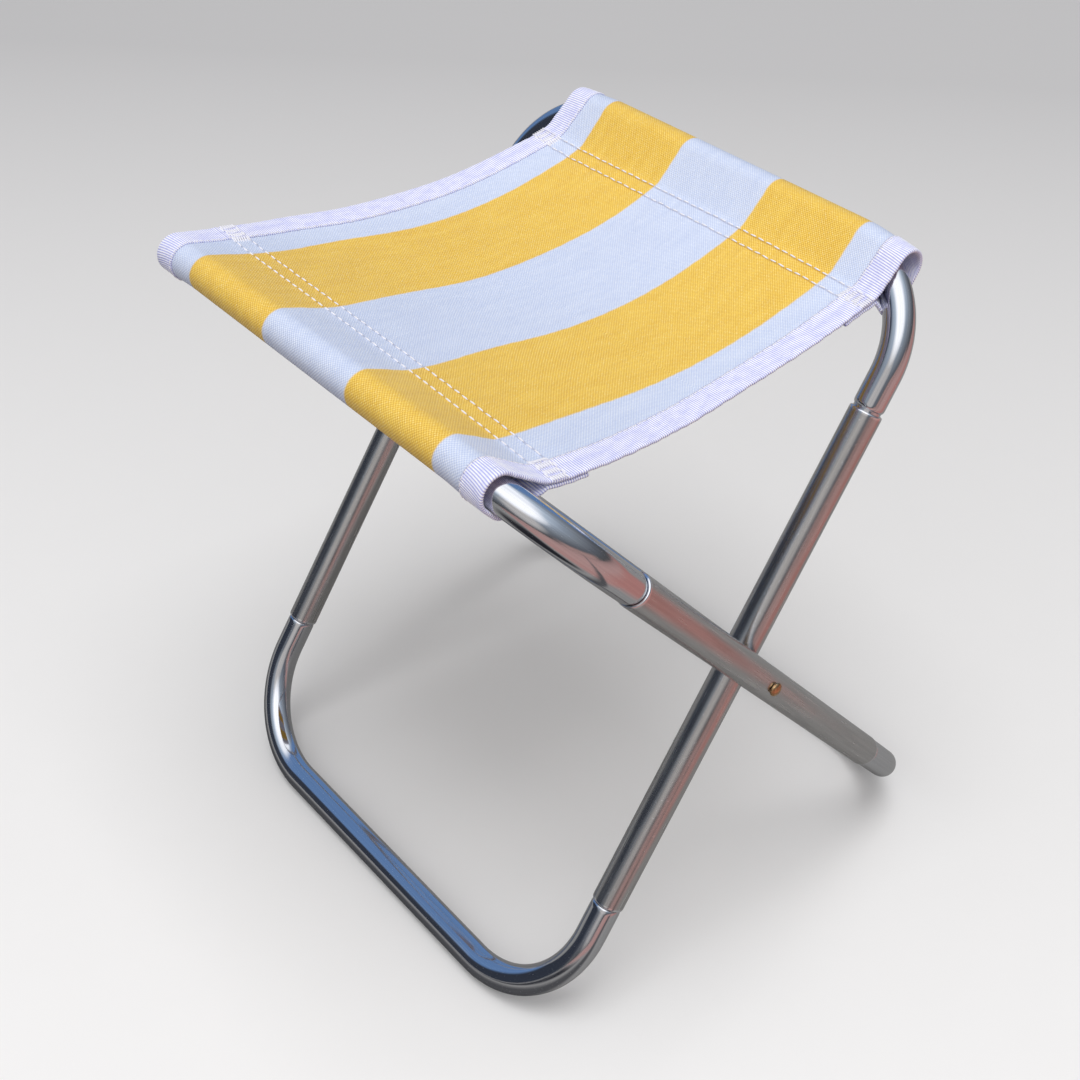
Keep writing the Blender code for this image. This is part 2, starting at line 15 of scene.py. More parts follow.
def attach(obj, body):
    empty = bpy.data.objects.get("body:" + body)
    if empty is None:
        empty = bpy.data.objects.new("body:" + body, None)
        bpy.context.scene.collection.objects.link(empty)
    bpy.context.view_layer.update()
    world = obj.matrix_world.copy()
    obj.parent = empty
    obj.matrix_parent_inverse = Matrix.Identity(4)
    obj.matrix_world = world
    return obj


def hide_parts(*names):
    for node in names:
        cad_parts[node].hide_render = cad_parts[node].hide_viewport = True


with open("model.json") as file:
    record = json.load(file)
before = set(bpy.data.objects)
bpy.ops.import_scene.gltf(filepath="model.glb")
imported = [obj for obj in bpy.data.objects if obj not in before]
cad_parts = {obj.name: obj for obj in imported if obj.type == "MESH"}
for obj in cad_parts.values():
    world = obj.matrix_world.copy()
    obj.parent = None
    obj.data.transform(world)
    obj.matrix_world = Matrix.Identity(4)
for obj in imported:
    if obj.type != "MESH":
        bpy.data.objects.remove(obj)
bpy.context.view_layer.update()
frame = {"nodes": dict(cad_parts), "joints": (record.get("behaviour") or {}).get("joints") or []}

MM = 0.001
TURN = 2 * math.pi
RIGHT_ANGLE = math.pi / 2
IMAGE_PIXELS = 1080
RIB_PITCH = 1.15 * MM
log = logging.getLogger("folding_stool")

Colour = tuple[float, float, float]
Piece = bpy.types.Object
Finish = bpy.types.Material
Link = bpy.types.NodeSocket
Operand = Union["Value", Link, float]
Inputs = dict[Union[int, str], Union["Value", Link, Finish, float, str, tuple]]


def linear(*screen: float) -> Colour:
    """The linear colour that a shader takes for red, green and blue of 0 to 255, as a screen shows them."""
    shares = [part / 255 for part in screen]
    return tuple(share / 12.92 if share <= 0.04045 else ((share + 0.055) / 1.055) ** 2.4 for share in shares)


def smooth(low: float, high: float, value: np.ndarray) -> np.ndarray:
    """Rises smoothly from 0 at low to 1 at high."""
    share = np.clip((value - low) / (high - low), 0.0, 1.0)
    return share * share * (3 - 2 * share)


class Mark(Enum):
    """Names of the attributes that a piece's mesh carries for its finish."""

    TUBE = "tube_place"
    RIM = "rim"
    WEAVE = "weave_place"
    SEAM = "seam_distance"
    BINDING = "binding_place"
    RIB = "rib_share"


class Value:
    """A number in a node tree. Arithmetic on it adds Math nodes."""

    def __init__(self, tree: "Tree", socket: Link) -> None:
        """Wraps one output socket of the tree."""
        self.tree = tree
        self.socket = socket

    def math(self, operation: str, first: Operand, second: Operand = 0.0, clamp: bool = False) -> "Value":
        """The result of one Math node, held between 0 and 1 if clamped."""
        settings = {"operation": operation, "use_clamp": clamp}
        return Value(self.tree, self.tree.node("ShaderNodeMath", settings, {0: first, 1: second}).outputs[0])

    def __add__(self, other: Operand) -> "Value":
        """Sum."""
        return self.math("ADD", self, other)

    def __sub__(self, other: Operand) -> "Value":
        """Difference."""
        return self.math("SUBTRACT", self, other)

    def __rsub__(self, other: Operand) -> "Value":
        """Difference, number first."""
        return self.math("SUBTRACT", other, self)

    def __mul__(self, other: Operand) -> "Value":
        """Product."""
        return self.math("MULTIPLY", self, other)

    __radd__ = __add__
    __rmul__ = __mul__

    def sine(self) -> "Value":
        """Sine of an angle in radians."""
        return self.math("SINE", self)

    def power(self, exponent: float) -> "Value":
        """Power of a number that isn't negative."""
        return self.math("POWER", self, exponent)

    def rise(self, start: float, end: float) -> "Value":
        """A straight rise from 0 at start to 1 at end, held beyond them; a fall if end is the lower."""
        return self.math("MULTIPLY", self - start, 1 / (end - start), clamp=True)


class Tree:
    """The nodes of a material, of the world or of a modifier."""

    def __init__(self, nodes: bpy.types.NodeTree) -> None:
        """Starts with an empty tree."""
        self.tree = nodes
        self.tree.nodes.clear()

    def node(self, kind: str, settings: dict[str, object], inputs: Inputs) -> bpy.types.Node:
        """Adds any node.

        Args:
            kind: The node's type.
            settings: Its own settings, with a ramp's stops as pairs of place and colour.
            inputs: Values or links of its sockets, by place or name.

        Returns:
            The node.
        """
        node = self.tree.nodes.new(kind)
        for name, setting in settings.items():
            if name == "stops":
                self.fill_ramp(node.color_ramp, setting)
            else:
                setattr(node, name, setting)
        for name, value in inputs.items():
            source = value.socket if isinstance(value, Value) else value
            if isinstance(source, Link):
                self.tree.links.new(source, node.inputs[name])
            else:
                node.inputs[name].default_value = source
        return node

    @staticmethod
    def fill_ramp(ramp: bpy.types.ColorRamp, stops: tuple[tuple[float, Colour], ...]) -> None:
        """Sets a ramp's stops.

        Args:
            ramp: The ramp, with its two first stops.
            stops: Place and colour of each stop.
        """
        while len(ramp.elements) < len(stops):
            ramp.elements.new(1.0)
        for element, (place, colour) in zip(ramp.elements, stops):
            element.position = place
            element.color = (*colour, 1.0)

    def split(self, vector: Link) -> tuple[Value, ...]:
        """The three parts of a vector."""
        parts = self.node("ShaderNodeSeparateXYZ", {}, {0: vector}).outputs
        return tuple(Value(self, part) for part in parts)

    def join(self, x: Operand, y: Operand, z: Operand) -> Link:
        """A vector of three parts."""
        return self.node("ShaderNodeCombineXYZ", {}, {0: x, 1: y, 2: z}).outputs[0]


class Recipe(Tree):
    """The tree of one material, or of the world."""

    def __init__(self, owner: Union[Finish, bpy.types.World]) -> None:
        """Starts with an empty tree."""
        owner.use_nodes = True
        super().__init__(owner.node_tree)
        self.owner = owner

    def mark(self, mark: Mark, kind: str = "Vector") -> Link:
        """What a piece's mesh carries under that name."""
        return self.node("ShaderNodeAttribute", {"attribute_name": mark.value}, {}).outputs[kind]

    def share(self, mark: Mark) -> Value:
        """The number that a piece's mesh carries under that name."""
        return Value(self, self.mark(mark, "Fac"))

    def place(self) -> Link:
        """Object coordinates."""
        return self.node("ShaderNodeTexCoord", {}, {}).outputs["Object"]

    def noise(self, vector: Link, scale: float, detail: float) -> Value:
        """Noise from 0 to 1, with the scale in waves for each metre and the detail as its finer layers."""
        inputs = {"Vector": vector, "Scale": scale, "Detail": detail, "Roughness": 0.55}
        return Value(self, self.node("ShaderNodeTexNoise", {}, inputs).outputs[0])

    def streaks(self, along: float, across: float, detail: float) -> Value:
        """Noise that is drawn out along a tube, by its scales along and across it."""
        place, side, up = self.split(self.mark(Mark.TUBE))
        return self.noise(self.join(place * along, side * across, up * across), 1.0, detail)

    def mix(self, factor: Operand, first: Union[Link, Colour], second: Union[Link, Colour]) -> Link:
        """A colour between two colours.

        Args:
            factor: 0 for the first, 1 for the second.
            first: First colour or link.
            second: Second colour or link.

        Returns:
            The mixed colour.
        """
        parts = [(*part, 1.0) if isinstance(part, tuple) else part for part in (first, second)]
        inputs = {0: factor, 6: parts[0], 7: parts[1]}
        return self.node("ShaderNodeMix", {"data_type": "RGBA", "clamp_factor": True}, inputs).outputs[2]

    def bump(self, height: Value, strength: float, distance: float) -> Link:
        """A normal that is raised by a height of about 0 to 1, where 1 stands for the distance in metres."""
        inputs = {"Strength": strength, "Distance": distance, "Height": height}
        return self.node("ShaderNodeBump", {}, inputs).outputs[0]

    def surface(self, inputs: Inputs) -> Finish:
        """Ends a material's tree in one Principled shader.

        Args:
            inputs: Values or links of the shader's sockets.

        Returns:
            The material.
        """
        shader = self.node("ShaderNodeBsdfPrincipled", {}, inputs)
        self.node("ShaderNodeOutputMaterial", {"target": "ALL"}, {"Surface": shader.outputs[0]})
        return self.owner


def new_recipe(name: str) -> Recipe:
    """The recipe of a new material with that name."""
    return Recipe(bpy.data.materials.new(name))


@dataclass(frozen=True)
class PolishedSteel:
    """Bright drawn tube with faint lines along its length and fine pits."""

    light: Colour = (0.78, 0.79, 0.81)
    dark: Colour = (0.66, 0.67, 0.70)
    pit: Colour = (0.30, 0.30, 0.32)
    roughness: float = 0.085
    line_roughness: float = 0.06
    cloud_roughness: float = 0.06
    pit_roughness: float = 0.25
    line_scales: tuple[float, float] = (12.0, 1500.0)
    cloud_scale: float = 70.0
    pit_scale: float = 1900.0

    def material(self) -> Finish:
        """Mixes the finish.

        Returns:
            The material.
        """
        recipe = new_recipe("polished_steel")
        lines = recipe.streaks(*self.line_scales, 3.0)
        clouds = recipe.noise(recipe.mark(Mark.TUBE), self.cloud_scale, 3.0).rise(0.5, 0.8)
        pits = recipe.noise(recipe.mark(Mark.TUBE), self.pit_scale, 1.0).rise(0.70, 0.78)
        colour = recipe.mix(lines.rise(0.3, 0.7), self.dark, self.light)
        rough = self.roughness + lines.rise(0.45, 0.75) * self.line_roughness + clouds * self.cloud_roughness
        return recipe.surface({
            "Base Color": recipe.mix(pits * 0.35, colour, self.pit),
            "Metallic": 1.0,
            "Roughness": rough + pits * self.pit_roughness,
            "Normal": recipe.bump(lines * 0.6 - pits * 0.6, 0.05, 0.02 * MM),
        })


@dataclass(frozen=True)
class SatinSteel:
    """Dull plated tube: soft reflections, streaks along its length, bright specks and polished rims."""

    light: Colour = (0.70, 0.695, 0.69)
    dark: Colour = (0.51, 0.505, 0.50)
    rim: Colour = (0.88, 0.88, 0.90)
    speck: Colour = (0.85, 0.85, 0.88)
    roughness: float = 0.18
    streak_roughness: float = 0.10
    cloud_roughness: float = 0.05
    rim_polish: float = 0.72
    streak_scales: tuple[float, float] = (25.0, 700.0)
    cloud_scale: float = 45.0
    speck_scale: float = 850.0

    def material(self) -> Finish:
        """Mixes the finish.

        Returns:
            The material.
        """
        recipe = new_recipe("satin_steel")
        streaks = recipe.streaks(*self.streak_scales, 4.0)
        clouds = recipe.noise(recipe.mark(Mark.TUBE), self.cloud_scale, 3.0).rise(0.4, 0.7)
        specks = recipe.noise(recipe.mark(Mark.TUBE), self.speck_scale, 1.0).rise(0.68, 0.75)
        rim = recipe.share(Mark.RIM)
        body = recipe.mix(streaks.rise(0.25, 0.75), self.dark, self.light)
        speckled = recipe.mix(specks * 0.6, body, self.speck)
        rough = self.roughness + streaks.rise(0.3, 0.8) * self.streak_roughness
        rough = rough + clouds * self.cloud_roughness
        return recipe.surface({
            "Base Color": recipe.mix(rim, speckled, self.rim),
            "Metallic": 1.0,
            "Roughness": rough * (1 - rim * self.rim_polish),
            "Normal": recipe.bump(streaks * 0.7 + specks * 0.5, 0.12, 0.03 * MM),
        })


@dataclass(frozen=True)
class RivetBrass:
    """Brass-plated rivet, lightly worn to copper."""

    light: Colour = (0.72, 0.50, 0.26)
    dark: Colour = (0.42, 0.22, 0.11)
    wear_scale: float = 900.0

    def material(self) -> Finish:
        """Mixes the finish.

        Returns:
            The material.
        """
        recipe = new_recipe("brass")
        wear = recipe.noise(recipe.place(), self.wear_scale, 4.0)
        return recipe.surface({
            "Base Color": recipe.mix(wear.rise(0.35, 0.65), self.light, self.dark),
            "Metallic": 1.0,
            "Roughness": 0.18 + wear.rise(0.3, 0.8) * 0.22,
            "Normal": recipe.bump(wear, 0.1, 0.05 * MM),
        })


@dataclass(frozen=True)
class PlainNylon:
    """Black moulded nylon with a faint grain."""

    light: Colour = (0.075, 0.075, 0.08)
    dark: Colour = (0.035, 0.035, 0.04)
    grain_scale: float = 1400.0

    def material(self) -> Finish:
        """Mixes the finish.

        Returns:
            The material.
        """
        recipe = new_recipe("nylon")
        grain = recipe.noise(recipe.place(), self.grain_scale, 3.0)
        return recipe.surface({
            "Base Color": recipe.mix(grain, self.dark, self.light),
            "Roughness": 0.4 + grain * 0.2,
            "Normal": recipe.bump(grain, 0.2, 0.05 * MM),
        })


@dataclass(frozen=True)
class StripedCloth:
    """Plain-weave cloth in broad yellow and white stripes that run from bar to bar, with painted glint dots
    on the weave and painted shade along the stitch rows.
    """

    yellow: Colour = linear(252, 217, 100)
    yellow_deep: Colour = linear(211, 160, 44)
    yellow_painted_glint: Colour = linear(255, 242, 190)
    yellow_seam_painted_shade: Colour = linear(176, 126, 52)
    white: Colour = linear(222, 230, 247)
    white_deep: Colour = linear(180, 193, 226)
    white_painted_glint: Colour = linear(250, 251, 254)
    white_seam_painted_shade: Colour = linear(158, 160, 186)
    stripes: tuple[float, ...] = (0.148, 0.389, 0.642, 0.891)
    stripe_soft: float = 0.0022
    stripe_wander: float = 0.004
    wander_scale: float = 160.0
    thread_pitch: float = 1.48 * MM
    slub_scales: tuple[float, float] = (1900.0, 240.0)
    cloud_scale: float = 55.0
    painted_glint_scale: float = 700.0
    seam_reach: tuple[float, float] = (0.8 * MM, 0.25 * MM)

    def material(self) -> Finish:
        """Mixes the finish.

        Returns:
            The material.
        """
        recipe = new_recipe("striped_cloth")
        across, along, share = recipe.split(recipe.mark(Mark.WEAVE))
        wander = recipe.noise(recipe.join(along, 0.0, 0.0), self.wander_scale, 1.0) - 0.5
        edge = share + wander * self.stripe_wander
        steps = [edge.rise(place - self.stripe_soft, place + self.stripe_soft) for place in self.stripes]
        yellow = steps[0] - steps[1] + steps[2] - steps[3]
        warp, weft = ((place * (TURN / self.thread_pitch)).sine() for place in (across, along))
        checks = warp * weft * 0.5 + 0.5
        fine, coarse = self.slub_scales
        slubs = recipe.noise(recipe.join(across * fine, along * coarse, 0.0), 1.0, 2.0)
        both_slubs = slubs + recipe.noise(recipe.join(across * coarse, along * fine, 0.0), 1.0, 2.0)
        clouds = recipe.noise(recipe.mark(Mark.WEAVE), self.cloud_scale, 2.0)
        # Painted glint dots: bright dots mixed into the colour on the weave's crowns, in place of highlights.
        painted_glints = recipe.noise(recipe.mark(Mark.WEAVE), self.painted_glint_scale, 1.0).rise(0.52, 0.66)
        painted_glints = painted_glints * checks.power(3.0)
        tone = checks * 0.60 + both_slubs * 0.20 + (clouds - 0.5) * 0.3
        deep = recipe.mix(yellow, self.white_deep, self.yellow_deep)
        plain = recipe.mix(yellow, self.white, self.yellow)
        # bright holds the painted glint colour of each stripe.
        bright = recipe.mix(yellow, self.white_painted_glint, self.yellow_painted_glint)
        body = recipe.mix(tone.rise(0.12, 0.88), deep, plain)
        # Painted shade: the colour darkens along the stitch rows, where the cloth dips into the seams; the
        # bump dips there too.
        seam = recipe.share(Mark.SEAM).rise(*self.seam_reach) * 0.5
        shade = recipe.mix(yellow, self.white_seam_painted_shade, self.yellow_seam_painted_shade)
        return recipe.surface({
            "Base Color": recipe.mix(seam, recipe.mix(painted_glints * 0.8, body, bright), shade),
            "Roughness": 0.38 + slubs.rise(0.3, 0.7) * 0.12,
            "Specular IOR Level": 0.55,
            "Sheen Weight": 0.10,
            "Sheen Roughness": 0.4,
            "Normal": recipe.bump(checks + both_slubs * 0.25 - seam, 0.75, 0.22 * MM),
        })


@dataclass(frozen=True)
class RibbedTape:
    """Ribbed binding tape: white ribs across its width with lavender between them."""

    rib: Colour = linear(246, 247, 254)
    groove: Colour = linear(168, 170, 224)
    tint: Colour = linear(212, 216, 246)
    fibre_scales: tuple[float, float] = (700.0, 2600.0)
    patch_scale: float = 260.0

    def material(self) -> Finish:
        """Mixes the finish.

        Returns:
            The material.
        """
        recipe = new_recipe("ribbed_tape")
        along, across, _ = recipe.split(recipe.mark(Mark.BINDING))
        ribs = (along * (TURN / RIB_PITCH) + RIGHT_ANGLE).sine() * 0.5 + 0.5
        fine_place = recipe.join(along * self.fibre_scales[0], across * self.fibre_scales[1], 0.0)
        fibres = recipe.noise(fine_place, 1.0, 2.0)
        patches = recipe.noise(recipe.join(along * 0.5, across, 0.0), self.patch_scale, 2.0)
        base = recipe.mix(patches.rise(0.40, 0.66) * 0.7, self.rib, self.tint)
        return recipe.surface({
            "Base Color": recipe.mix(ribs.rise(0.72, 0.18) * (0.55 + fibres * 0.7), base, self.groove),
            "Roughness": 0.6 + fibres * 0.2,
            "Specular IOR Level": 0.3,
            "Sheen Weight": 0.15,
            "Sheen Roughness": 0.4,
            "Normal": recipe.bump(fibres * 0.4 + ribs * 0.6, 0.25, 0.15 * MM),
        })


@dataclass(frozen=True)
class SewingThread:
    """White sewing thread with a fine twist."""

    light: Colour = linear(248, 248, 252)
    dark: Colour = linear(206, 204, 222)
    twist_pitch: float = 0.32 * MM
    fibre_scale: float = 2600.0

    def material(self) -> Finish:
        """Mixes the finish.

        Returns:
            The material.
        """
        recipe = new_recipe("sewing_thread")
        x, y, z = recipe.split(recipe.place())
        twist = ((x + y + z * 0.7) * (TURN / self.twist_pitch)).sine() * 0.5 + 0.5
        fibres = recipe.noise(recipe.place(), self.fibre_scale, 2.0)
        return recipe.surface({
            "Base Color": recipe.mix(twist * 0.4 + fibres * 0.3, self.light, self.dark),
            "Roughness": 0.5 + fibres * 0.2,
            "Sheen Weight": 0.2,
            "Normal": recipe.bump(twist, 0.2, 0.05 * MM),
        })


@dataclass(frozen=True)
class PaleFloor:
    """Plain pale paper with painted shade that greys it towards the back, which the tubes mirror darker and
    in patches.
    """

    # front is the paper's colour; back is the darker end of the painted shade towards the back.
    front: Colour = linear(239, 238, 238)
    back: Colour = linear(192, 191, 192)
    grain: Colour = (0.5, 0.5, 0.5)
    grain_scale: float = 30.0
    mirrored: Colour = (0.29, 0.285, 0.28)
    mirrored_red: Colour = (0.44, 0.205, 0.185)
    mirrored_far: Colour = (0.46, 0.28, 0.26)
    mirrored_dark: Colour = (0.015, 0.015, 0.02)
    mirrored_painted_shadow: Colour = (0.085, 0.085, 0.09)

    def reflection(self, recipe: Recipe, x: Value, y: Value) -> Link:
        """The floor as the tubes mirror it, and as it throws light back at the stool.

        Args:
            recipe: The floor's recipe.
            x: Place from the outer seat bar's side to the inner one's.
            y: Place from the right to the left.

        Returns:
            Its colour: grey, red on the right, dark beyond the inner foot bar and with a painted shadow
                beside it.
        """
        paler = y.rise(-0.45, -0.80) + x.rise(0.06, -0.12) * 0.7
        red = recipe.mix(paler, self.mirrored_red, self.mirrored_far)
        ground = recipe.mix(y.rise(-0.25, -0.35), self.mirrored, red)
        beyond = x.rise(-0.21, -0.25) * x.rise(-1.0, -0.5) * y.rise(0.04, -0.02) * y.rise(-0.28, -0.20)
        # Painted shadow: a darker band beside the inner foot bar, in place of its contact shadow.
        beside = x.rise(-0.19, -0.15) * x.rise(-0.11, -0.125)
        return recipe.mix(beside, recipe.mix(beyond, ground, self.mirrored_dark), self.mirrored_painted_shadow)

    def material(self) -> Finish:
        """Mixes the finish.

        Returns:
            The material.
        """
        recipe = new_recipe("pale_floor")
        x, y, _ = recipe.split(recipe.place())
        # Painted shade: the paper darkens towards the back, in place of the light's fall-off.
        depth = (x * 0.78 + y * 0.65).rise(-0.25, 0.95)
        grain = recipe.noise(recipe.place(), self.grain_scale, 3.0)
        paper = recipe.mix(grain * 0.04, recipe.mix(depth.power(1.2), self.front, self.back), self.grain)
        seen = recipe.node("ShaderNodeLightPath", {}, {}).outputs["Is Camera Ray"]
        return recipe.surface({
            "Base Color": recipe.mix(seen, self.reflection(recipe, x, y), paper),
            "Roughness": 0.75 + grain * 0.1,
            "Specular IOR Level": 0.2,
        })


def new_piece(name: str, points: np.ndarray, faces: list, finish: Optional[Finish] = None,
              lines: Union[list, tuple] = ()) -> Piece:
    """Makes a smooth-shaded object at the origin.

    Args:
        name: The piece's name.
        points: Rows of x, y and z.
        faces: Tuples of point numbers.
        finish: The piece's material, if it has one already.
        lines: Pairs of point numbers that are joined by a line.

    Returns:
        The object.
    """
    mesh = bpy.data.meshes.new(name)
    mesh.from_pydata(points.reshape(-1, 3).tolist(), lines, faces)
    mesh.update()
    mesh.shade_smooth()
    if finish:
        mesh.materials.append(finish)
    piece = bpy.data.objects.new(name, mesh)
    bpy.context.scene.collection.objects.link(piece)
    return piece


def note(piece: Piece, mark: Mark, values: np.ndarray) -> None:
    """Writes a number or vector for each point into the piece's mesh.

    Args:
        piece: The piece.
        mark: The attribute's name.
        values: Numbers in one row, or vectors in the last axis of a grid.
    """
    kind, field = ("FLOAT", "value") if values.ndim == 1 else ("FLOAT_VECTOR", "vector")
    attribute = piece.data.attributes.new(mark.value, kind, "POINT")
    attribute.data.foreach_set(field, values.astype(np.float32).ravel())


def ring_faces(rings: int, sides: int, closed: bool = False, flip: bool = False) -> list[tuple[int, ...]]:
    """Four-sided faces between neighbouring rings of points.

    Args:
        rings: Number of rings.
        sides: Points of each ring, which closes on itself.
        closed: Whether the last ring joins the first.
        flip: Whether the faces turn the other way.

    Returns:
        The faces.
    """
    faces = []
    for ring in range(rings if closed else rings - 1):
        first = ring * sides
        second = ((ring + 1) % rings) * sides
        for side in range(sides):
            after = (side + 1) % sides
            face = (first + side, first + after, second + after, second + side)
            faces.append(face[::-1] if flip else face)
    return faces


def settle(piece: Piece) -> Piece:
    """Turns a piece with modifiers into a plain mesh.

    Args:
        piece: The piece.

    Returns:
        The same piece, with the modifiers' result as its mesh.
    """
    bpy.context.view_layer.update()
    graph = bpy.context.evaluated_depsgraph_get()
    result = piece.evaluated_get(graph)
    mesh = bpy.data.meshes.new_from_object(result, preserve_all_data_layers=True, depsgraph=graph)
    piece.modifiers.clear()
    spare = piece.data
    piece.data = mesh
    mesh.name = piece.name
    bpy.data.meshes.remove(spare)
    return piece


class Modifier(Tree):
    """A Geometry Nodes tree with named inputs, run as a modifier."""

    def __init__(self, name: str, *numbers: str) -> None:
        """Starts a tree.

        Args:
            name: The tree's name.
            numbers: Names of its inputs, which take a number each.
        """
        super().__init__(bpy.data.node_groups.new(name, "GeometryNodeTree"))
        sockets = self.tree.interface
        for way in ("INPUT", "OUTPUT"):
            sockets.new_socket("Geometry", in_out=way, socket_type="NodeSocketGeometry")
        kinds = {**dict.fromkeys(numbers, "NodeSocketFloat"), "Finish": "NodeSocketMaterial"}
        self.keys = {}
        for label, kind in kinds.items():
            self.keys[label] = sockets.new_socket(label, in_out="INPUT", socket_type=kind).identifier
        self.given = self.node("NodeGroupInput", {}, {}).outputs
        self.geometry = self.given["Geometry"]

    def end(self, geometry: Link) -> None:
        """Ends the tree: instances made real, smooth, with the finish set.

        Args:
            geometry: What the tree has made.
        """
        real = self.node("GeometryNodeRealizeInstances", {}, {"Geometry": geometry}).outputs[0]
        soft = self.node("GeometryNodeSetShadeSmooth", {}, {"Geometry": real}).outputs[0]
        finish = {"Geometry": soft, "Material": self.given["Finish"]}
        dressed = self.node("GeometryNodeSetMaterial", {}, finish).outputs[0]
        self.node("NodeGroupOutput", {}, {"Geometry": dressed})

    def apply(self, piece: Piece, values: dict[str, object]) -> Piece:
        """Runs the tree on a piece and keeps the result as its mesh.

        Args:
            piece: The piece that the tree starts from.
            values: A value for each named input.

        Returns:
            The piece.
        """
        modifier = piece.modifiers.new(self.tree.name, "NODES")
        modifier.node_group = self.tree
        for label, value in values.items():
            modifier[self.keys[label]] = value
        return settle(piece)


class StitchRows(Modifier):
    """Lays a stitch at every pitch along the lines of a piece."""

    def __init__(self) -> None:
        """Grows the tree."""
        super().__init__("stitch_rows", "Pitch", "Stitch Length", "Thread Radius")
        curve = self.node("GeometryNodeMeshToCurve", {}, {"Mesh": self.geometry}).outputs[0]
        spread = {"Curve": curve, "Length": self.given["Pitch"]}
        points = self.node("GeometryNodeCurveToPoints", {"mode": "LENGTH"}, spread).outputs
        shape = {"Segments": 8, "Rings": 5, "Radius": 1.0}
        ball = self.node("GeometryNodeMeshUVSphere", {}, shape).outputs[0]
        half = Value(self, self.given["Stitch Length"]) * 0.5
        scale = self.join(self.given["Thread Radius"], self.given["Thread Radius"], half)
        laid = {"Points": points["Points"], "Instance": ball, "Rotation": points["Rotation"], "Scale": scale}
        self.end(self.node("GeometryNodeInstanceOnPoints", {}, laid).outputs[0])


class TapeRibs(Modifier):
    """Raises ribs across a tape at every pitch along it."""

    def __init__(self) -> None:
        """Grows the tree."""
        super().__init__("tape_ribs", "Rib Pitch", "Rib Height")
        place, share = (
            self.node("GeometryNodeInputNamedAttribute", {"data_type": kind}, {"Name": mark.value}).outputs[0]
            for kind, mark in (("FLOAT_VECTOR", Mark.BINDING), ("FLOAT", Mark.RIB))
        )
        along, _, _ = self.split(place)
        angle = along.math("DIVIDE", along, self.given["Rib Pitch"]) * TURN
        height = angle.math("COSINE", angle) * self.given["Rib Height"] * share
        normal = self.node("GeometryNodeInputNormal", {}, {}).outputs[0]
        scaled = {0: normal, "Scale": height}
        offset = self.node("ShaderNodeVectorMath", {"operation": "SCALE"}, scaled).outputs[0]
        raised = {"Geometry": self.geometry, "Offset": offset}
        self.end(self.node("GeometryNodeSetPosition", {}, raised).outputs[0])


class RivetPair(Modifier):
    """Repeats a piece on the other side of the stool, turned round the upright axis."""

    def __init__(self) -> None:
        """Grows the tree."""
        super().__init__("rivet_pair", "Turn")
        turned = {"Geometry": self.geometry, "Rotation": self.join(0.0, 0.0, self.given["Turn"])}
        other = self.node("GeometryNodeTransform", {}, turned).outputs[0]
        both = self.node("GeometryNodeJoinGeometry", {}, {})
        for geometry in (self.geometry, other):
            self.tree.links.new(geometry, both.inputs[0])
        self.end(both.outputs[0])


class Supplies:
    """The finishes and the Geometry Nodes trees that the pieces share."""

    def __init__(self) -> None:
        """Makes each of them once."""
        self.polished = PolishedSteel().material()
        self.satin = SatinSteel().material()
        self.brass = RivetBrass().material()
        self.nylon = PlainNylon().material()
        self.cloth = StripedCloth().material()
        self.tape = RibbedTape().material()
        self.thread = SewingThread().material()
        self.stitches = StitchRows()
        self.ribs = TapeRibs()
        self.pair = RivetPair()


def mount(piece: Piece, body: str, slot: str, *nodes: str) -> None:
    """Makes a piece ride on a body and stand for its solids.

    Args:
        piece: The piece.
        body: The body's name.
        slot: The record's material slot; not used.
        nodes: The solids that it stands for.
    """
    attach(piece, body)
    if nodes:
        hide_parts(*nodes)
    log.info("%s rides on %s, %d faces", piece.name, body, len(piece.data.polygons))


def joint_place(name: str) -> Vector:
    """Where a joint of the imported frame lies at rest."""
    return Vector(next(joint["pos_m"] for joint in frame["joints"] if joint["name"] == name))


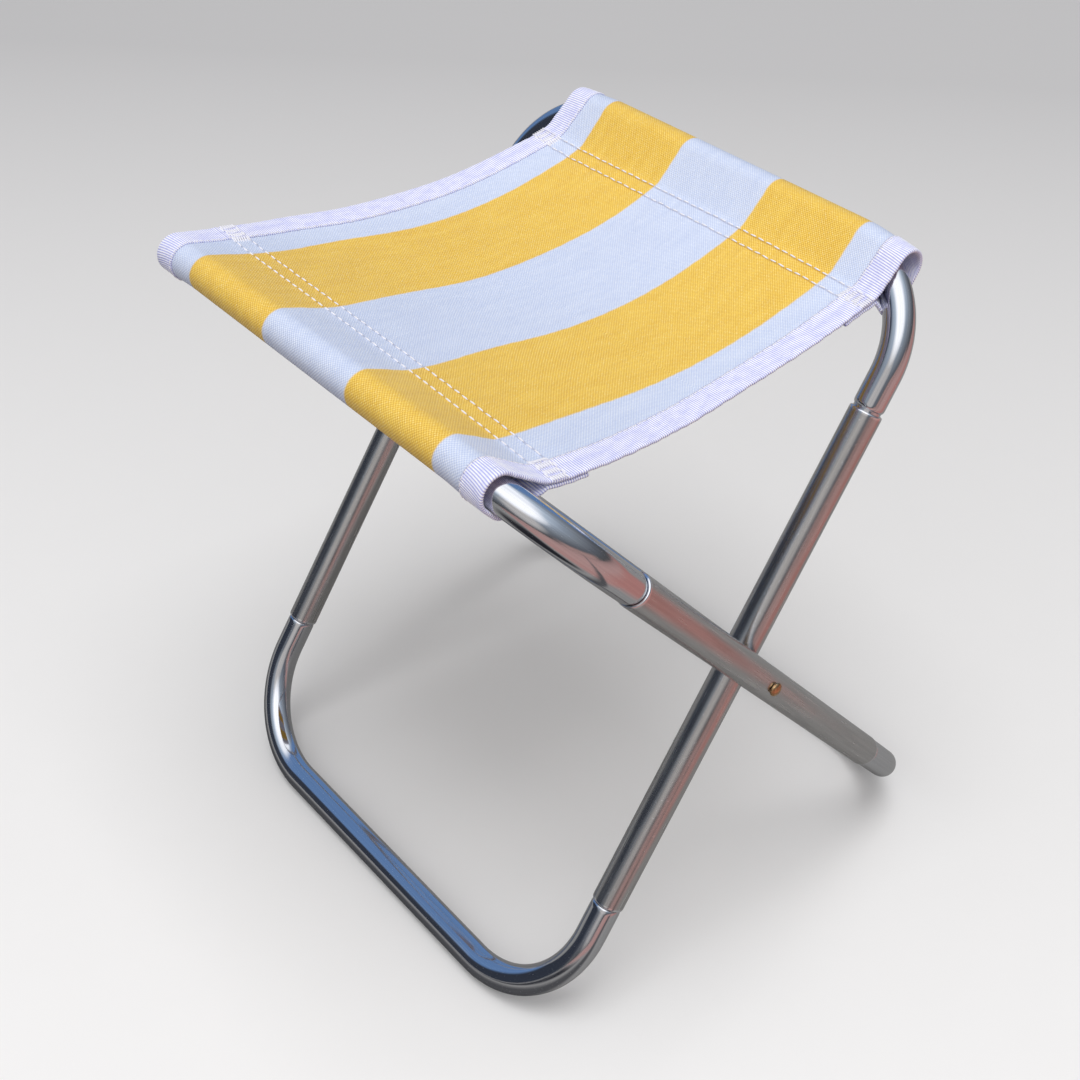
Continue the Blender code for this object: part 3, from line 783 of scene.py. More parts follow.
@dataclass
class TubeFrame:
    """One of the two crossed frames: two bent bars and the two side tubes that they plug into."""

    name: str
    supplies: Supplies
    seat_side: float
    half_width: float
    seat_reach: float = 119.5 * MM
    seat_height: float = 331.5 * MM
    foot_reach: float = 125.5 * MM
    foot_height: float = 7.4 * MM
    bar_radius: float = 7.5 * MM
    leg_radius: float = 8.0 * MM
    leg_wall: float = 1.0 * MM
    rim_round: float = 0.8 * MM
    rim_bright: float = 1.3
    rim_faded: float = 2.2
    rim_margin: float = 4.0 * MM
    neck_radius: float = 6.7 * MM
    neck_length: float = 20.0 * MM
    neck_margin: float = 0.5 * MM
    shoulder: float = 2.4 * MM
    seat_bend: float = 50.0 * MM
    foot_bend: float = 54.0 * MM
    seat_tail: float = 66.0 * MM
    foot_tail: float = 72.0 * MM
    seat_groove: float = 1.4 * MM
    foot_groove: float = 0.5 * MM
    sides: int = 72
    straight_steps: int = 16
    bend_steps: int = 60
    tail_steps: int = 8
    shoulder_steps: int = 12
    rim_steps: int = 10
    leg_steps: int = 20

    @property
    def seat(self) -> Vector:
        """The seat bar's axis, in the middle."""
        return Vector((self.seat_side * self.seat_reach, 0.0, self.seat_height))

    @property
    def foot(self) -> Vector:
        """The foot bar's axis, in the middle."""
        return Vector((-self.seat_side * self.foot_reach, 0.0, self.foot_height))

    @property
    def slope(self) -> float:
        """Angle between the side tubes and the floor."""
        return math.atan2(self.seat_height - self.foot_height, self.seat_reach + self.foot_reach)

    def bar_stations(self, bend: float, tail: float) -> np.ndarray:
        """Stations of a bent bar from its middle to its neck's end.

        Args:
            bend: Radius of the bend.
            tail: Distance of the shoulder's end from the bar's axis.

        Returns:
            Rows: distance along the bar from its middle, y, depth below the bar, direction's angle, radius.
        """
        straight = self.half_width - bend
        rows = [(y, y, 0.0, 0.0, self.bar_radius)
                for y in np.linspace(0.0, straight, self.straight_steps, endpoint=False)]
        for angle in np.linspace(0.0, RIGHT_ANGLE, self.bend_steps):
            y = straight + bend * math.sin(angle)
            rows.append((straight + bend * angle, y, bend * (1 - math.cos(angle)), angle, self.bar_radius))
        lower = [(depth, self.bar_radius)
                 for depth in np.linspace(bend, tail - self.shoulder, self.tail_steps)[1:-1]]
        for angle in np.linspace(0.0, RIGHT_ANGLE, self.shoulder_steps):
            radius = self.neck_radius + (self.bar_radius - self.neck_radius) * math.cos(angle)
            lower.append((tail - self.shoulder * (1 - math.sin(angle)), radius))
        lower += [(tail + reach, self.neck_radius) for reach in (self.neck_margin, self.neck_length)]
        start = straight + bend * RIGHT_ANGLE
        for depth, radius in lower:
            rows.append((start + depth - bend, self.half_width, depth, RIGHT_ANGLE, radius))
        return np.array(rows).T

    def bar(self, name: str, centre: Vector, toward: Vector, bend: float, tail: float) -> Piece:
        """Builds a bent bar.

        Args:
            name: The piece's name.
            centre: The bar's axis, in the middle.
            toward: Direction of its tails.
            bend: Radius of its bends.
            tail: Distance of its shoulders' ends from the bar's axis.

        Returns:
            The bar.
        """
        half = self.bar_stations(bend, tail)
        mirror = (-1, -1, 1, -1, 1)
        whole = [np.concatenate((sign * row[:0:-1], row)) for sign, row in zip(mirror, half)]
        along, across, depth, angle, radius = whole
        toward_row = np.array(toward)
        y_row = np.array((0.0, 1.0, 0.0))
        normal = np.cross(y_row, toward_row)
        axis = np.array(centre) + across[:, None] * y_row + depth[:, None] * toward_row
        direction = np.cos(angle)[:, None] * y_row + np.sin(angle)[:, None] * toward_row
        side = np.cross(direction, normal)
        turn = np.linspace(0.0, TURN, self.sides, endpoint=False)
        spokes = np.cos(turn)[None, :, None] * normal + np.sin(turn)[None, :, None] * side[:, None, :]
        points = axis[:, None, :] + radius[:, None, None] * spokes
        count = len(along)
        faces = ring_faces(count, self.sides)
        faces.append(tuple(reversed(range(self.sides))))
        faces.append(tuple(range((count - 1) * self.sides, count * self.sides)))
        piece = new_piece(name, points, faces, self.supplies.polished)
        note(piece, Mark.TUBE, self.tube_place(along, radius))
        return piece

    def tube_place(self, along: np.ndarray, radius: np.ndarray) -> np.ndarray:
        """Where a tube's points lie on it.

        Args:
            along: Each ring's distance along the tube.
            radius: Each ring's radius.

        Returns:
            Distance along the tube and two places across it, for each point of each ring.
        """
        turn = np.linspace(0.0, TURN, self.sides, endpoint=False)
        side = radius[:, None] * np.cos(turn)
        up = radius[:, None] * np.sin(turn)
        return np.stack((np.broadcast_to(along[:, None], up.shape), side, up), axis=2)

    def leg(self, name: str, y: float) -> Piece:
        """Builds a straight side tube with rounded, bright rims.

        Args:
            name: The piece's name.
            y: Where it stands across the stool.

        Returns:
            The side tube.
        """
        run = self.foot - self.seat
        top = self.seat_tail + self.seat_groove
        bottom = run.length - self.foot_tail - self.foot_groove
        rim = self.rim_round
        upper = [(top, self.leg_radius - self.leg_wall, 1.0)]
        for angle in np.linspace(0.0, RIGHT_ANGLE, self.rim_steps)[::-1]:
            radius = self.leg_radius - rim * (1 - math.cos(angle))
            upper.append((top + rim * (1 - math.sin(angle)), radius, 1.0))
        upper.append((top + self.rim_bright * rim, self.leg_radius, 1.0))
        upper.append((top + self.rim_faded * rim, self.leg_radius, 0.0))
        steps = np.linspace(top + self.rim_margin, bottom - self.rim_margin, self.leg_steps)
        rows = upper + [(along, self.leg_radius, 0.0) for along in steps]
        rows += [(top + bottom - along, radius, share) for along, radius, share in reversed(upper)]
        along, radius, share = np.array(rows).T
        axis = np.array(run.normalized())
        side = np.array((0.0, 1.0, 0.0))
        turn = np.linspace(0.0, TURN, self.sides, endpoint=False)
        spokes = np.cos(turn)[:, None] * side + np.sin(turn)[:, None] * np.cross(axis, side)
        start = np.array(self.seat) + y * side
        points = start + along[:, None, None] * axis + radius[:, None, None] * spokes[None, :, :]
        faces = ring_faces(len(rows), self.sides, closed=True)
        piece = new_piece(name, points, faces, self.supplies.satin)
        note(piece, Mark.TUBE, self.tube_place(along + y, radius))
        note(piece, Mark.RIM, np.repeat(share, self.sides))
        return piece

    def build(self) -> None:
        """Builds and mounts the frame's four tubes."""
        down = (self.foot - self.seat).normalized()
        body = f"{self.name}_frame"
        bars = {
            "seat_bar": (self.seat, down, self.seat_bend, self.seat_tail),
            "foot_bar": (self.foot, -down, self.foot_bend, self.foot_tail),
        }
        for part, shape in bars.items():
            mount(self.bar(f"{self.name}_{part}_tube", *shape), body, "polished_steel", f"{self.name}_{part}")
        for side, y in (("left_leg", self.half_width), ("right_leg", -self.half_width)):
            mount(self.leg(f"{self.name}_{side}_tube", y), body, "satin_steel", f"{self.name}_{side}")


@dataclass
class Pivots:
    """The two rivets that the frames turn on, with the washers between the side tubes."""

    height: float
    supplies: Supplies
    seat: float = 159.1 * MM
    clinch: float = 125.3 * MM
    head_radius: float = 3.5 * MM
    head_height: float = 2.2 * MM
    head_rim: float = 0.35 * MM
    head_taper: float = 0.12 * MM
    shank_radius: float = 2.0 * MM
    roll_radius: float = 3.2 * MM
    roll_height: float = 1.2 * MM
    bore_radius: float = 1.1 * MM
    bore_depth: float = 3.0 * MM
    sides: int = 48
    arc_steps: int = 14
    sharp_angle: float = math.radians(50)

    def profile(self) -> list[tuple[float, float]]:
        """Draws the outline of a rivet.

        Returns:
            Distance from the stool's middle and radius, from the head's tip to the bore's end.
        """
        dome = self.head_height - self.head_rim
        outline = [(self.seat + self.head_rim + dome * math.cos(angle), self.head_radius * math.sin(angle))
                   for angle in np.linspace(0.0, RIGHT_ANGLE, self.arc_steps)]
        outline += [(self.seat, self.head_radius - self.head_taper), (self.seat, self.shank_radius)]
        outline.append((self.clinch, self.shank_radius))
        middle = (self.bore_radius + self.roll_radius) / 2
        half = (self.roll_radius - self.bore_radius) / 2
        outline += [(self.clinch - self.roll_height * math.sin(angle), middle + half * math.cos(angle))
                    for angle in np.linspace(0.0, math.pi, self.arc_steps)]
        return outline + [(self.clinch + self.bore_depth, radius) for radius in (self.bore_radius, 0.0)]

    def build(self) -> None:
        """Builds both rivets and dresses the washers."""
        outline = self.profile()
        turn = np.linspace(0.0, TURN, self.sides, endpoint=False)
        points = [(0.0, outline[0][0], self.height)]
        for along, radius in outline[1:-1]:
            points += [(radius * math.cos(a), along, self.height + radius * math.sin(a)) for a in turn]
        points.append((0.0, outline[-1][0], self.height))
        faces = [tuple(number + 1 for number in face) for face in ring_faces(len(outline) - 2, self.sides)]
        last = len(points) - 1
        for side in range(self.sides):
            after = (side + 1) % self.sides
            faces.append((0, after + 1, side + 1))
            faces.append((last, last - self.sides + side, last - self.sides + after))
        piece = new_piece("pivot_rivets", np.array(points), faces)
        self.supplies.pair.apply(piece, {"Turn": math.pi, "Finish": self.supplies.brass})
        piece.data.set_sharp_from_angle(angle=self.sharp_angle)
        mount(piece, "outer_frame", "brass", "left_rivet", "right_rivet")
        for side in ("left", "right"):
            washer = frame["nodes"][f"{side}_pivot_washer"]
            washer.data.materials.clear()
            washer.data.materials.append(self.supplies.nylon)


def curve(knots: np.ndarray, values: np.ndarray, at: np.ndarray) -> np.ndarray:
    """A smooth curve through values.

    Args:
        knots: Places of the values, in rising order.
        values: The values.
        at: The places that are asked for, within the knots.

    Returns:
        The curve's value at each place.
    """
    slopes = np.gradient(values, knots)
    index = np.clip(np.searchsorted(knots, at) - 1, 0, len(knots) - 2)
    step = knots[index + 1] - knots[index]
    share = (at - knots[index]) / step
    line = values[index] + (values[index + 1] - values[index]) * smooth(0.0, 1.0, share)
    line = line + slopes[index] * step * share * (1 - share) ** 2
    return line - slopes[index + 1] * step * share ** 2 * (1 - share)


@dataclass(frozen=True)
class ClothEdge:
    """One long edge of the seat: its line across the stool and the line of the stripes, listed in mm."""

    places: tuple[float, ...]
    line: tuple[float, ...]
    threads: tuple[float, float, float]
    reach: float = 119.5 * MM

    def at(self, x: np.ndarray) -> np.ndarray:
        """The edge's y at places between the bars."""
        inside = np.clip(np.asarray(x, dtype=float), -self.reach, self.reach)
        return curve(np.array(self.places) * MM, np.array(self.line) * MM, inside)

    def thread(self, x: np.ndarray) -> np.ndarray:
        """The y at places between the bars of the line that the stripes follow."""
        return np.interp(x, (-self.reach, 0.0, self.reach), np.array(self.threads) * MM)


NEAR_EDGE = ClothEdge((-119.5, -80, -30, 20, 70, 119.5), (-122.0, -124.8, -121.0, -117.0, -117.0, -118.5),
                      (-128.0, -125.5, -125.5))
FAR_EDGE = ClothEdge((-119.5, -90, -62, -30, 10, 60, 119.5),
                     (119.5, 119.6, 120.8, 117.0, 115.9, 114.5, 110.0), (118.5, 113.5, 108.5))


class Part(IntEnum):
    """The parts of half a seat, from its middle over the bar to the hem's end."""

    PANEL = 0
    SEAM = 1
    SLOPE = 2
    ROUND = 3
    UNDER = 4
    HEM = 5


@dataclass(frozen=True)
class Run:
    """Stations along half a seat: the part that each lies on, and its place along that part."""

    part: np.ndarray
    share: np.ndarray

    @staticmethod
    def of(*counts: int) -> "Run":
        """Spreads stations evenly over each part.

        Args:
            counts: Number of stations of each part.

        Returns:
            The run, whose last station is the hem's end.
        """
        parts = [np.full(count, part) for part, count in zip(Part, counts)]
        shares = [np.arange(count) / count for count in counts]
        return Run(np.concatenate((*parts, [Part.HEM])), np.concatenate((*shares, [1.0])))


@dataclass(frozen=True)
class SeatSag:
    """How the panel hangs between its seams: lower towards the inner bar, with a far edge that curls up."""

    seam: float = 98.0 * MM
    half_width: float = 118.0 * MM
    seam_drop: float = 4.2 * MM
    lean: float = 3.8 * MM
    depth: float = 15.4 * MM
    skew: float = 0.13
    twist: float = 2.0 * MM
    corner_drop: float = 3.5 * MM
    curl: float = 3.9 * MM
    seam_curl: float = 1.0 * MM
    curl_width: float = 19.0 * MM
    drift_size: float = 4.3 * MM
    drift_place: float = -52.0 * MM
    drift_width: float = 30.0 * MM
    drift_full: float = -35.4 * MM

    def height(self, x: np.ndarray, y: np.ndarray) -> np.ndarray:
        """Height of the panel over the bars' axis.

        Args:
            x: Places along the stripes.
            y: Places across them.

        Returns:
            The heights.
        """
        along, across = x / self.seam, y / self.half_width
        hollow = 1 - along ** 2
        height = -self.seam_drop - self.lean * along - self.depth * hollow * (1 + self.skew * along)
        height = height - self.twist * along * across
        height = height - self.corner_drop * along ** 4 * np.minimum(across, 0.0) ** 2
        curl = self.seam_curl + self.curl * hollow
        return height + curl * np.exp(-((y - FAR_EDGE.at(x)) / self.curl_width) ** 2)

    def drift(self, x: np.ndarray, y: np.ndarray) -> np.ndarray:
        """How far the stripes have moved towards the far edge at places along and across them."""
        bulge = np.exp(-((x - self.drift_place) / self.drift_width) ** 2)
        return self.drift_size * bulge * smooth(-self.half_width, self.drift_full, y)


@dataclass(frozen=True)
class Ripples:
    """A row of ripples: length of a radian, height, and how far and how fast the spacing wanders."""

    length: float
    height: float
    wander: float
    wander_length: float

    def at(self, place: np.ndarray) -> np.ndarray:
        """The ripples' height at places along the row."""
        return np.sin(place / self.length + self.wander * np.sin(place / self.wander_length)) * self.height


@dataclass(frozen=True)
class Stitch:
    """Sizes of a row of stitches."""

    pitch: float
    length: float
    thread: float


@dataclass
class SeatHalf:
    """Half of the striped seat: panel, sleeve round its bar and hem, with its binding and stitches.

    Places are given as u, the distance from the bar's axis towards the seat's middle, and y across the stool.
    """

    tubes: TubeFrame
    supplies: Supplies
    bar: Vector
    roll: float
    outer_row: float
    puff: float
    mouth_give: float
    near: ClothEdge = NEAR_EDGE
    far: ClothEdge = FAR_EDGE
    sag: SeatSag = SeatSag()
    crimp: Ripples = Ripples(1.07 * MM, 0.12 * MM, 1.3, 7.0 * MM)
    puckers: Ripples = Ripples(1.9 * MM, 0.16 * MM, 1.7, 8.3 * MM)
    gathers: Ripples = Ripples(2.6 * MM, 0.14 * MM, 1.2, 9.0 * MM)
    pucker_place: float = 31.0 * MM
    pucker_width: float = 9.0 * MM
    gather_width: float = 11.0 * MM
    wave_height: float = 0.35 * MM
    wave_lengths: tuple[float, float, float] = (17.0 * MM, 23.0 * MM, 26.0 * MM)
    wave_bend: float = 0.6
    wave_phase: float = 0.4
    middle: float = 119.5 * MM
    corner: float = 21.5 * MM
    inner_row: float = 31.5 * MM
    hem_end: float = 41.0 * MM
    valley_slope: float = 0.35
    valley_round: float = 1.3 * MM
    thickness: float = 0.75 * MM
    layer_gap: float = 0.95 * MM
    bound_gap: float = 2.1 * MM
    bound_reach: float = 9.0 * MM
    steepest: float = 0.97
    mouth_roll: float = 8.5 * MM
    mouth_reach: float = 14.0 * MM
    puff_reach: float = 22.0 * MM
    loop_steps: int = 240
    flat_width: float = 238.0 * MM
    tape_width: float = 12.6 * MM
    tape_thickness: float = 0.45 * MM
    tape_clear: float = 0.05 * MM
    tape_soft: float = 0.3 * MM
    tape_steps: int = 9
    rib_height: float = 0.13 * MM
    seam_stitch: Stitch = Stitch(5.1 * MM, 3.9 * MM, 0.42 * MM)
    binding_stitch: Stitch = Stitch(2.9 * MM, 2.4 * MM, 0.27 * MM)
    tack_stitch: Stitch = Stitch(4.1 * MM, 3.7 * MM, 0.50 * MM)
    seam_stand: float = 0.5
    binding_stand: float = 0.2
    seam_span: tuple[float, float] = (0.012, 0.988)
    seam_start: float = 0.03
    seam_steps: int = 260
    binding_seam: float = 0.9 * MM
    tack_span: tuple[float, float] = (0.05, 1.05)
    tack_rows: tuple[float, float, int] = (0.12, 0.74, 6)
    tack_steps: int = 12
    share_step: float = 0.02
    inset_step: float = 0.4 * MM
    columns: int = 150
    cloth_run: tuple[int, ...] = (56, 10, 14, 48, 14, 10)
    tape_run: tuple[int, ...] = (270, 32, 62, 130, 62, 46)
    thread_run: tuple[int, ...] = (100, 12, 22, 60, 22, 16)
    seam_shade: float = 4.0 * MM
    sharp_angle: float = math.radians(60)

    @property
    def name(self) -> str:
        """The name of the frame that carries this half."""
        return self.tubes.name

    @property
    def toward_middle(self) -> float:
        """The way along x from the bar to the seat's middle."""
        return -self.tubes.seat_side

    def x(self, u: np.ndarray) -> np.ndarray:
        """Places along the stripes of distances from the bar."""
        return self.bar.x + self.toward_middle * u

    def edge(self, line: ClothEdge, u: np.ndarray) -> np.ndarray:
        """Where an edge lies across the stool, with the small crimps of its binding."""
        return line.at(self.x(u)) + self.crimp.at(u)

    def across(self, u: np.ndarray, share: float, inset: float) -> np.ndarray:
        """Where a lengthwise line lies across the stool: a share from near to far edge, plus an inset."""
        near = self.edge(self.near, u)
        return near + share * (self.edge(self.far, u) - near) + inset

    def stripe_share(self, points: np.ndarray) -> np.ndarray:
        """Where points lie between the two lines that the stripes follow.

        Args:
            points: Points whose last axis is x, y and z.

        Returns:
            0 on the near line to 1 on the far one.
        """
        x, y = points[..., 0], points[..., 1]
        near, far = (edge.thread(x) for edge in (self.near, self.far))
        return (y - self.sag.drift(x, y) - near) / (far - near)

    def panel(self, u: np.ndarray, y: np.ndarray) -> np.ndarray:
        """Height of the sagging panel above the bar's axis."""
        return self.sag.height(self.x(u), y) + self.ripple(u, y)

    def ripple(self, u: np.ndarray, y: np.ndarray) -> np.ndarray:
        """Low waves: puckers along the seams, gathers along the near edge, and an uneven panel.

        Args:
            u: Distances from the bar towards the middle.
            y: Places across the stool.

        Returns:
            The waves' heights.
        """
        x = self.x(u)
        seam = np.exp(-((u - self.pucker_place) / self.pucker_width) ** 2)
        near = np.exp(-((y - self.edge(self.near, u)) / self.gather_width) ** 2)
        length, bend, width = self.wave_lengths
        wave = np.sin(x / length + self.wave_bend * np.sin(y / bend)) * np.sin(y / width + self.wave_phase)
        return seam * self.puckers.at(y) + self.wave_height * wave * (1 - seam) + near * self.gathers.at(x)

    def bar_drop(self, y: float) -> float:
        """How far the bar's bend has taken its upper side down the leg.

        Args:
            y: Place across the stool.

        Returns:
            The distance, 0 on the bar's straight stretch.
        """
        bend = self.tubes.seat_bend
        past = abs(y) - (self.tubes.half_width - bend)
        if past <= 0:
            return 0.0
        angle = math.asin(min(past / bend, self.steepest))
        return bend * (1 - math.cos(angle)) + self.tubes.bar_radius * (1 / math.cos(angle) - 1)

    def past_binding(self, y: float, reach: float) -> float:
        """0 where the sleeve carries binding, rising to 1 over that reach beside it."""
        inset = min(abs(y - float(line.at(np.array(self.bar.x)))) for line in (self.near, self.far))
        return float(smooth(self.tape_width, self.tape_width + reach, np.array(inset)))

    def row_gap(self, y: float) -> float:
        """Distance between the two layers at the seam: wider where both carry binding."""
        return self.bound_gap + (self.layer_gap - self.bound_gap) * self.past_binding(y, self.bound_reach)

    def loop(self, y: float, seam_y: float) -> tuple[np.ndarray, ...]:
        """The sleeve's line round the bar, pulled tight from the seam's upper point to its lower one.

        Args:
            y: Place across the stool at the bar.
            seam_y: Place across the stool at the seam.

        Returns:
            The seam's upper and lower points, the line of points round the bar between them, and the
            directions in which these points face.
        """
        upper = np.array((self.corner, float(self.panel(np.array(self.corner), np.array(seam_y)))))
        lower = upper - np.array((0.0, self.row_gap(seam_y)))
        roll = self.mouth_roll + (self.roll - self.mouth_roll) * self.past_binding(y, self.mouth_reach)
        slope = self.tubes.slope
        down_leg = self.bar_drop(y) * np.array((math.cos(slope), -math.sin(slope)))
        centres = [self.mouth_give * down_leg, down_leg]
        bounds = []
        for end, sign in ((upper, 1), (lower, -1)):
            angles = []
            for centre in centres:
                gap = end - centre
                tilt = math.acos(min(roll / math.hypot(*gap), 1.0))
                angles.append(math.atan2(gap[1], gap[0]) + sign * tilt)
            bounds.append(min(angles) if sign > 0 else max(angles) + TURN)
        turn = np.linspace(bounds[0], bounds[1], self.loop_steps)
        normal = np.stack((np.cos(turn), np.sin(turn)), axis=1)
        reach = np.stack([normal @ centre for centre in centres], axis=1)
        line = np.array(centres)[np.argmax(reach, axis=1)] + roll * normal
        return upper, lower, line, turn

    def section(self, run: Run, share: float, inset: float = 0.0) -> np.ndarray:
        """One lengthwise line of the cloth's middle surface.

        Args:
            run: The stations.
            share: The line's place between the near edge, 0, and the far one, 1.
            inset: A distance added to y.

        Returns:
            A row of x, y and z for each station.
        """
        at_bar, seam_y = (float(self.across(np.array(u), share, inset)) for u in (0.0, self.corner))
        upper, lower, line, turn = self.loop(at_bar, seam_y)
        steps = self.lengths(line)
        starts = np.array((self.middle, self.inner_row, self.corner, 0.0, 0.0, self.corner))[run.part]
        ends = np.array((self.inner_row, self.corner, 0.0, 0.0, self.corner, self.hem_end))[run.part]
        flat = starts + (ends - starts) * run.share
        y = self.across(flat, share, inset)
        points = np.stack((flat, self.panel(flat, y)), axis=1)
        slope, round_bar, under, hem = (run.part == part for part in Part if part >= Part.SLOPE)
        points[hem, 1] -= np.array([self.row_gap(place) for place in y[hem]])
        points[slope] = upper + (line[0] - upper) * run.share[slope, None]
        place = run.share[round_bar] * steps[-1]
        points[round_bar] = np.stack([np.interp(place, steps, part) for part in line.T], axis=1)
        points[under] = line[-1] + (lower - line[-1]) * run.share[under, None]
        # The cloth stands off the bar a little on top, most half-way from the seam to the bar's outer side.
        lead = float(np.hypot(*(line[0] - upper)))
        top = slope | round_bar
        path = np.where(slope, run.share * lead, lead + run.share * steps[-1])[top]
        facing = np.interp(path - lead, steps, turn)
        front = lead + float(np.interp(math.pi, turn, steps))
        swell = self.puff * self.past_binding(at_bar, self.puff_reach)
        swell = swell * np.sin(math.pi * np.clip(path / front, 0.0, 1.0))
        points[top] += swell[:, None] * np.stack((np.cos(facing), np.sin(facing)), axis=1)
        upper_side = run.part <= Part.SLOPE
        lift = np.where(slope, 1 - run.share, 1.0)[upper_side]
        points[upper_side, 1] += self.valley(points[upper_side, 0]) * lift
        return np.stack((self.x(points[:, 0]), y, self.bar.z + points[:, 1]), axis=1)

    def valley(self, u: np.ndarray) -> np.ndarray:
        """How far the cloth is lifted to round the valley where the sleeve's slope meets the panel."""
        fall = self.valley_slope * np.abs(u - self.corner)
        return 0.5 * (np.sqrt(fall ** 2 + self.valley_round ** 2) - fall)

    def normals(self, grid: np.ndarray) -> np.ndarray:
        """Unit normals on the seat's upper side, for points by column from near to far and by station."""
        normal = np.cross(np.gradient(grid, axis=0), np.gradient(grid, axis=1)) * self.toward_middle
        return normal / np.linalg.norm(normal, axis=2, keepdims=True)

    @staticmethod
    def lengths(line: np.ndarray) -> np.ndarray:
        """Distance along a line of points, from its first."""
        return np.concatenate(([0.0], np.cumsum(np.linalg.norm(np.diff(line, axis=0), axis=1))))

    def cloth(self) -> tuple[Piece, float]:
        """Builds the cloth.

        Returns:
            The cloth and its length from the middle to the hem's end.
        """
        run = Run.of(*self.cloth_run)
        grid = np.stack([self.section(run, share) for share in np.linspace(0.0, 1.0, self.columns)])
        count = len(run.part)
        along = self.lengths(grid[self.columns // 2])
        share = self.stripe_share(grid)
        faces = []
        for column in range(self.columns - 1):
            for station in range(count - 1):
                corner = column * count + station
                face = (corner, corner + count, corner + count + 1, corner + 1)
                faces.append(face if self.toward_middle < 0 else face[::-1])
        piece = new_piece(f"{self.name}_seat_half", grid, faces, self.supplies.cloth)
        place = (share * self.flat_width, np.broadcast_to(along, share.shape), share)
        note(piece, Mark.WEAVE, np.stack(place, axis=2))
        seam, hem = along[np.searchsorted(run.part, (Part.SEAM, Part.HEM))]
        rows = np.array((seam, seam + self.inner_row - self.outer_row, hem))
        distance = np.min(np.abs(along[:, None] - rows[None, :]), axis=1)
        note(piece, Mark.SEAM, np.tile(np.minimum(distance, self.seam_shade), self.columns))
        solid = piece.modifiers.new("thickness", "SOLIDIFY")
        solid.thickness = self.thickness
        solid.offset = 0.0
        settle(piece)
        piece.data.set_sharp_from_angle(angle=self.sharp_angle)
        return piece, float(along[-1])

    def tape(self, side: str) -> Piece:
        """Builds the binding of one edge, from the seat's middle round the sleeve's mouth to the hem's end.

        Args:
            side: Left, the far edge, or right, the near one.

        Returns:
            The binding.
        """
        run = Run.of(*self.tape_run)
        share, inward = (1.0, -1.0) if side == "left" else (0.0, 1.0)
        insets = np.linspace(0.0, self.tape_width, self.tape_steps)
        grid = np.stack([self.section(run, share, inward * inset) for inset in insets])
        normal = self.normals(grid) * inward
        outward = grid[0] - grid[1]
        outward /= np.linalg.norm(outward, axis=1, keepdims=True)
        inside = self.thickness / 2 + self.tape_clear
        columns = []
        for reach, order, ribbed in ((inside + self.tape_thickness, 1, 1.0), (inside, -1, 0.0)):
            upper = [(line + reach * up, inset, ribbed) for line, up, inset in zip(grid, normal, insets)]
            lower = [(line - reach * up, -inset, ribbed) for line, up, inset in zip(grid, normal, insets)]
            fold = []
            for angle in np.linspace(0.0, math.pi, self.tape_steps)[1:-1]:
                way = math.cos(angle) * normal[0] + math.sin(angle) * outward
                fold.append((grid[0] + reach * way, -reach * math.sin(angle), ribbed))
            columns += (upper[::-1] + fold + lower)[::order]
        lines, marks, ribs = zip(*columns)
        points = np.stack(lines, axis=1)
        count, ring = points.shape[:2]
        place = np.zeros_like(points)
        place[:, :, 0] = self.lengths(grid[0])[:, None]
        place[:, :, 1] = np.array(marks)[None, :]
        flip = (inward > 0) == (self.toward_middle > 0)
        faces = ring_faces(count, ring, flip=flip)
        for base in (0, (count - 1) * ring):
            for index in range(ring // 2 - 1):
                face = (base + index, base + index + 1, base + ring - 2 - index, base + ring - 1 - index)
                faces.append(face[::-1] if (base == 0) == (not flip) else face)
        piece = new_piece(f"{self.name}_{side}_binding", points, faces, self.supplies.tape)
        note(piece, Mark.BINDING, place)
        note(piece, Mark.RIB, np.tile(np.array(ribs), count))
        sizes = {"Rib Pitch": RIB_PITCH, "Rib Height": self.rib_height, "Finish": self.supplies.tape}
        return self.supplies.ribs.apply(piece, sizes)

    def cross_line(self, part: Part, share: float, shares: np.ndarray, side: float) -> np.ndarray:
        """A line across the cloth, on top of it and of the binding.

        Args:
            part: The part of the run that it lies on.
            share: Its place along that part.
            shares: Places between the near edge, 0, and the far one, 1.
            side: 1 for the seat's upper side and -1 for its under side.

        Returns:
            The line's points.
        """
        run = Run(np.full(3, part), share + self.share_step * np.array((-1, 0, 1)))
        grid = np.stack([self.section(run, place) for place in shares])
        normal = self.normals(grid)[:, 1]
        inset = np.minimum(shares, 1 - shares) * self.flat_width
        bound = 1 - smooth(self.tape_width - self.tape_soft, self.tape_width + self.tape_soft, inset)
        rise = self.thickness / 2 + self.seam_stitch.thread * self.seam_stand
        rise = rise + bound * (self.tape_thickness + self.tape_clear)
        return grid[:, 1] + side * rise[:, None] * normal

    def seam_lines(self) -> list[np.ndarray]:
        """Draws the two seams that close the sleeve.

        Returns:
            Their lines on the seat's upper side and under the hem.
        """
        shares = np.linspace(*self.seam_span, self.seam_steps)
        row = (self.inner_row - self.outer_row) / (self.inner_row - self.corner)
        places = [(Part.SEAM, self.seam_start, 1.0), (Part.SEAM, row, 1.0)]
        for place in (self.outer_row, self.inner_row):
            places.append((Part.HEM, (place - self.corner) / (self.hem_end - self.corner), -1.0))
        return [self.cross_line(part, share, shares, side) for part, share, side in places]

    def tack_lines(self) -> list[np.ndarray]:
        """Draws the dense stitches that lock the sleeve's two corners.

        Returns:
            Their lines on the binding, between the seams.
        """
        reach = self.tape_width / self.flat_width
        start, end = (part * reach for part in self.tack_span)
        lines = []
        for first, last in ((start, end), (1 - end, 1 - start)):
            shares = np.linspace(first, last, self.tack_steps)
            lines += [self.cross_line(Part.SEAM, row, shares, 1.0) for row in np.linspace(*self.tack_rows)]
        return lines

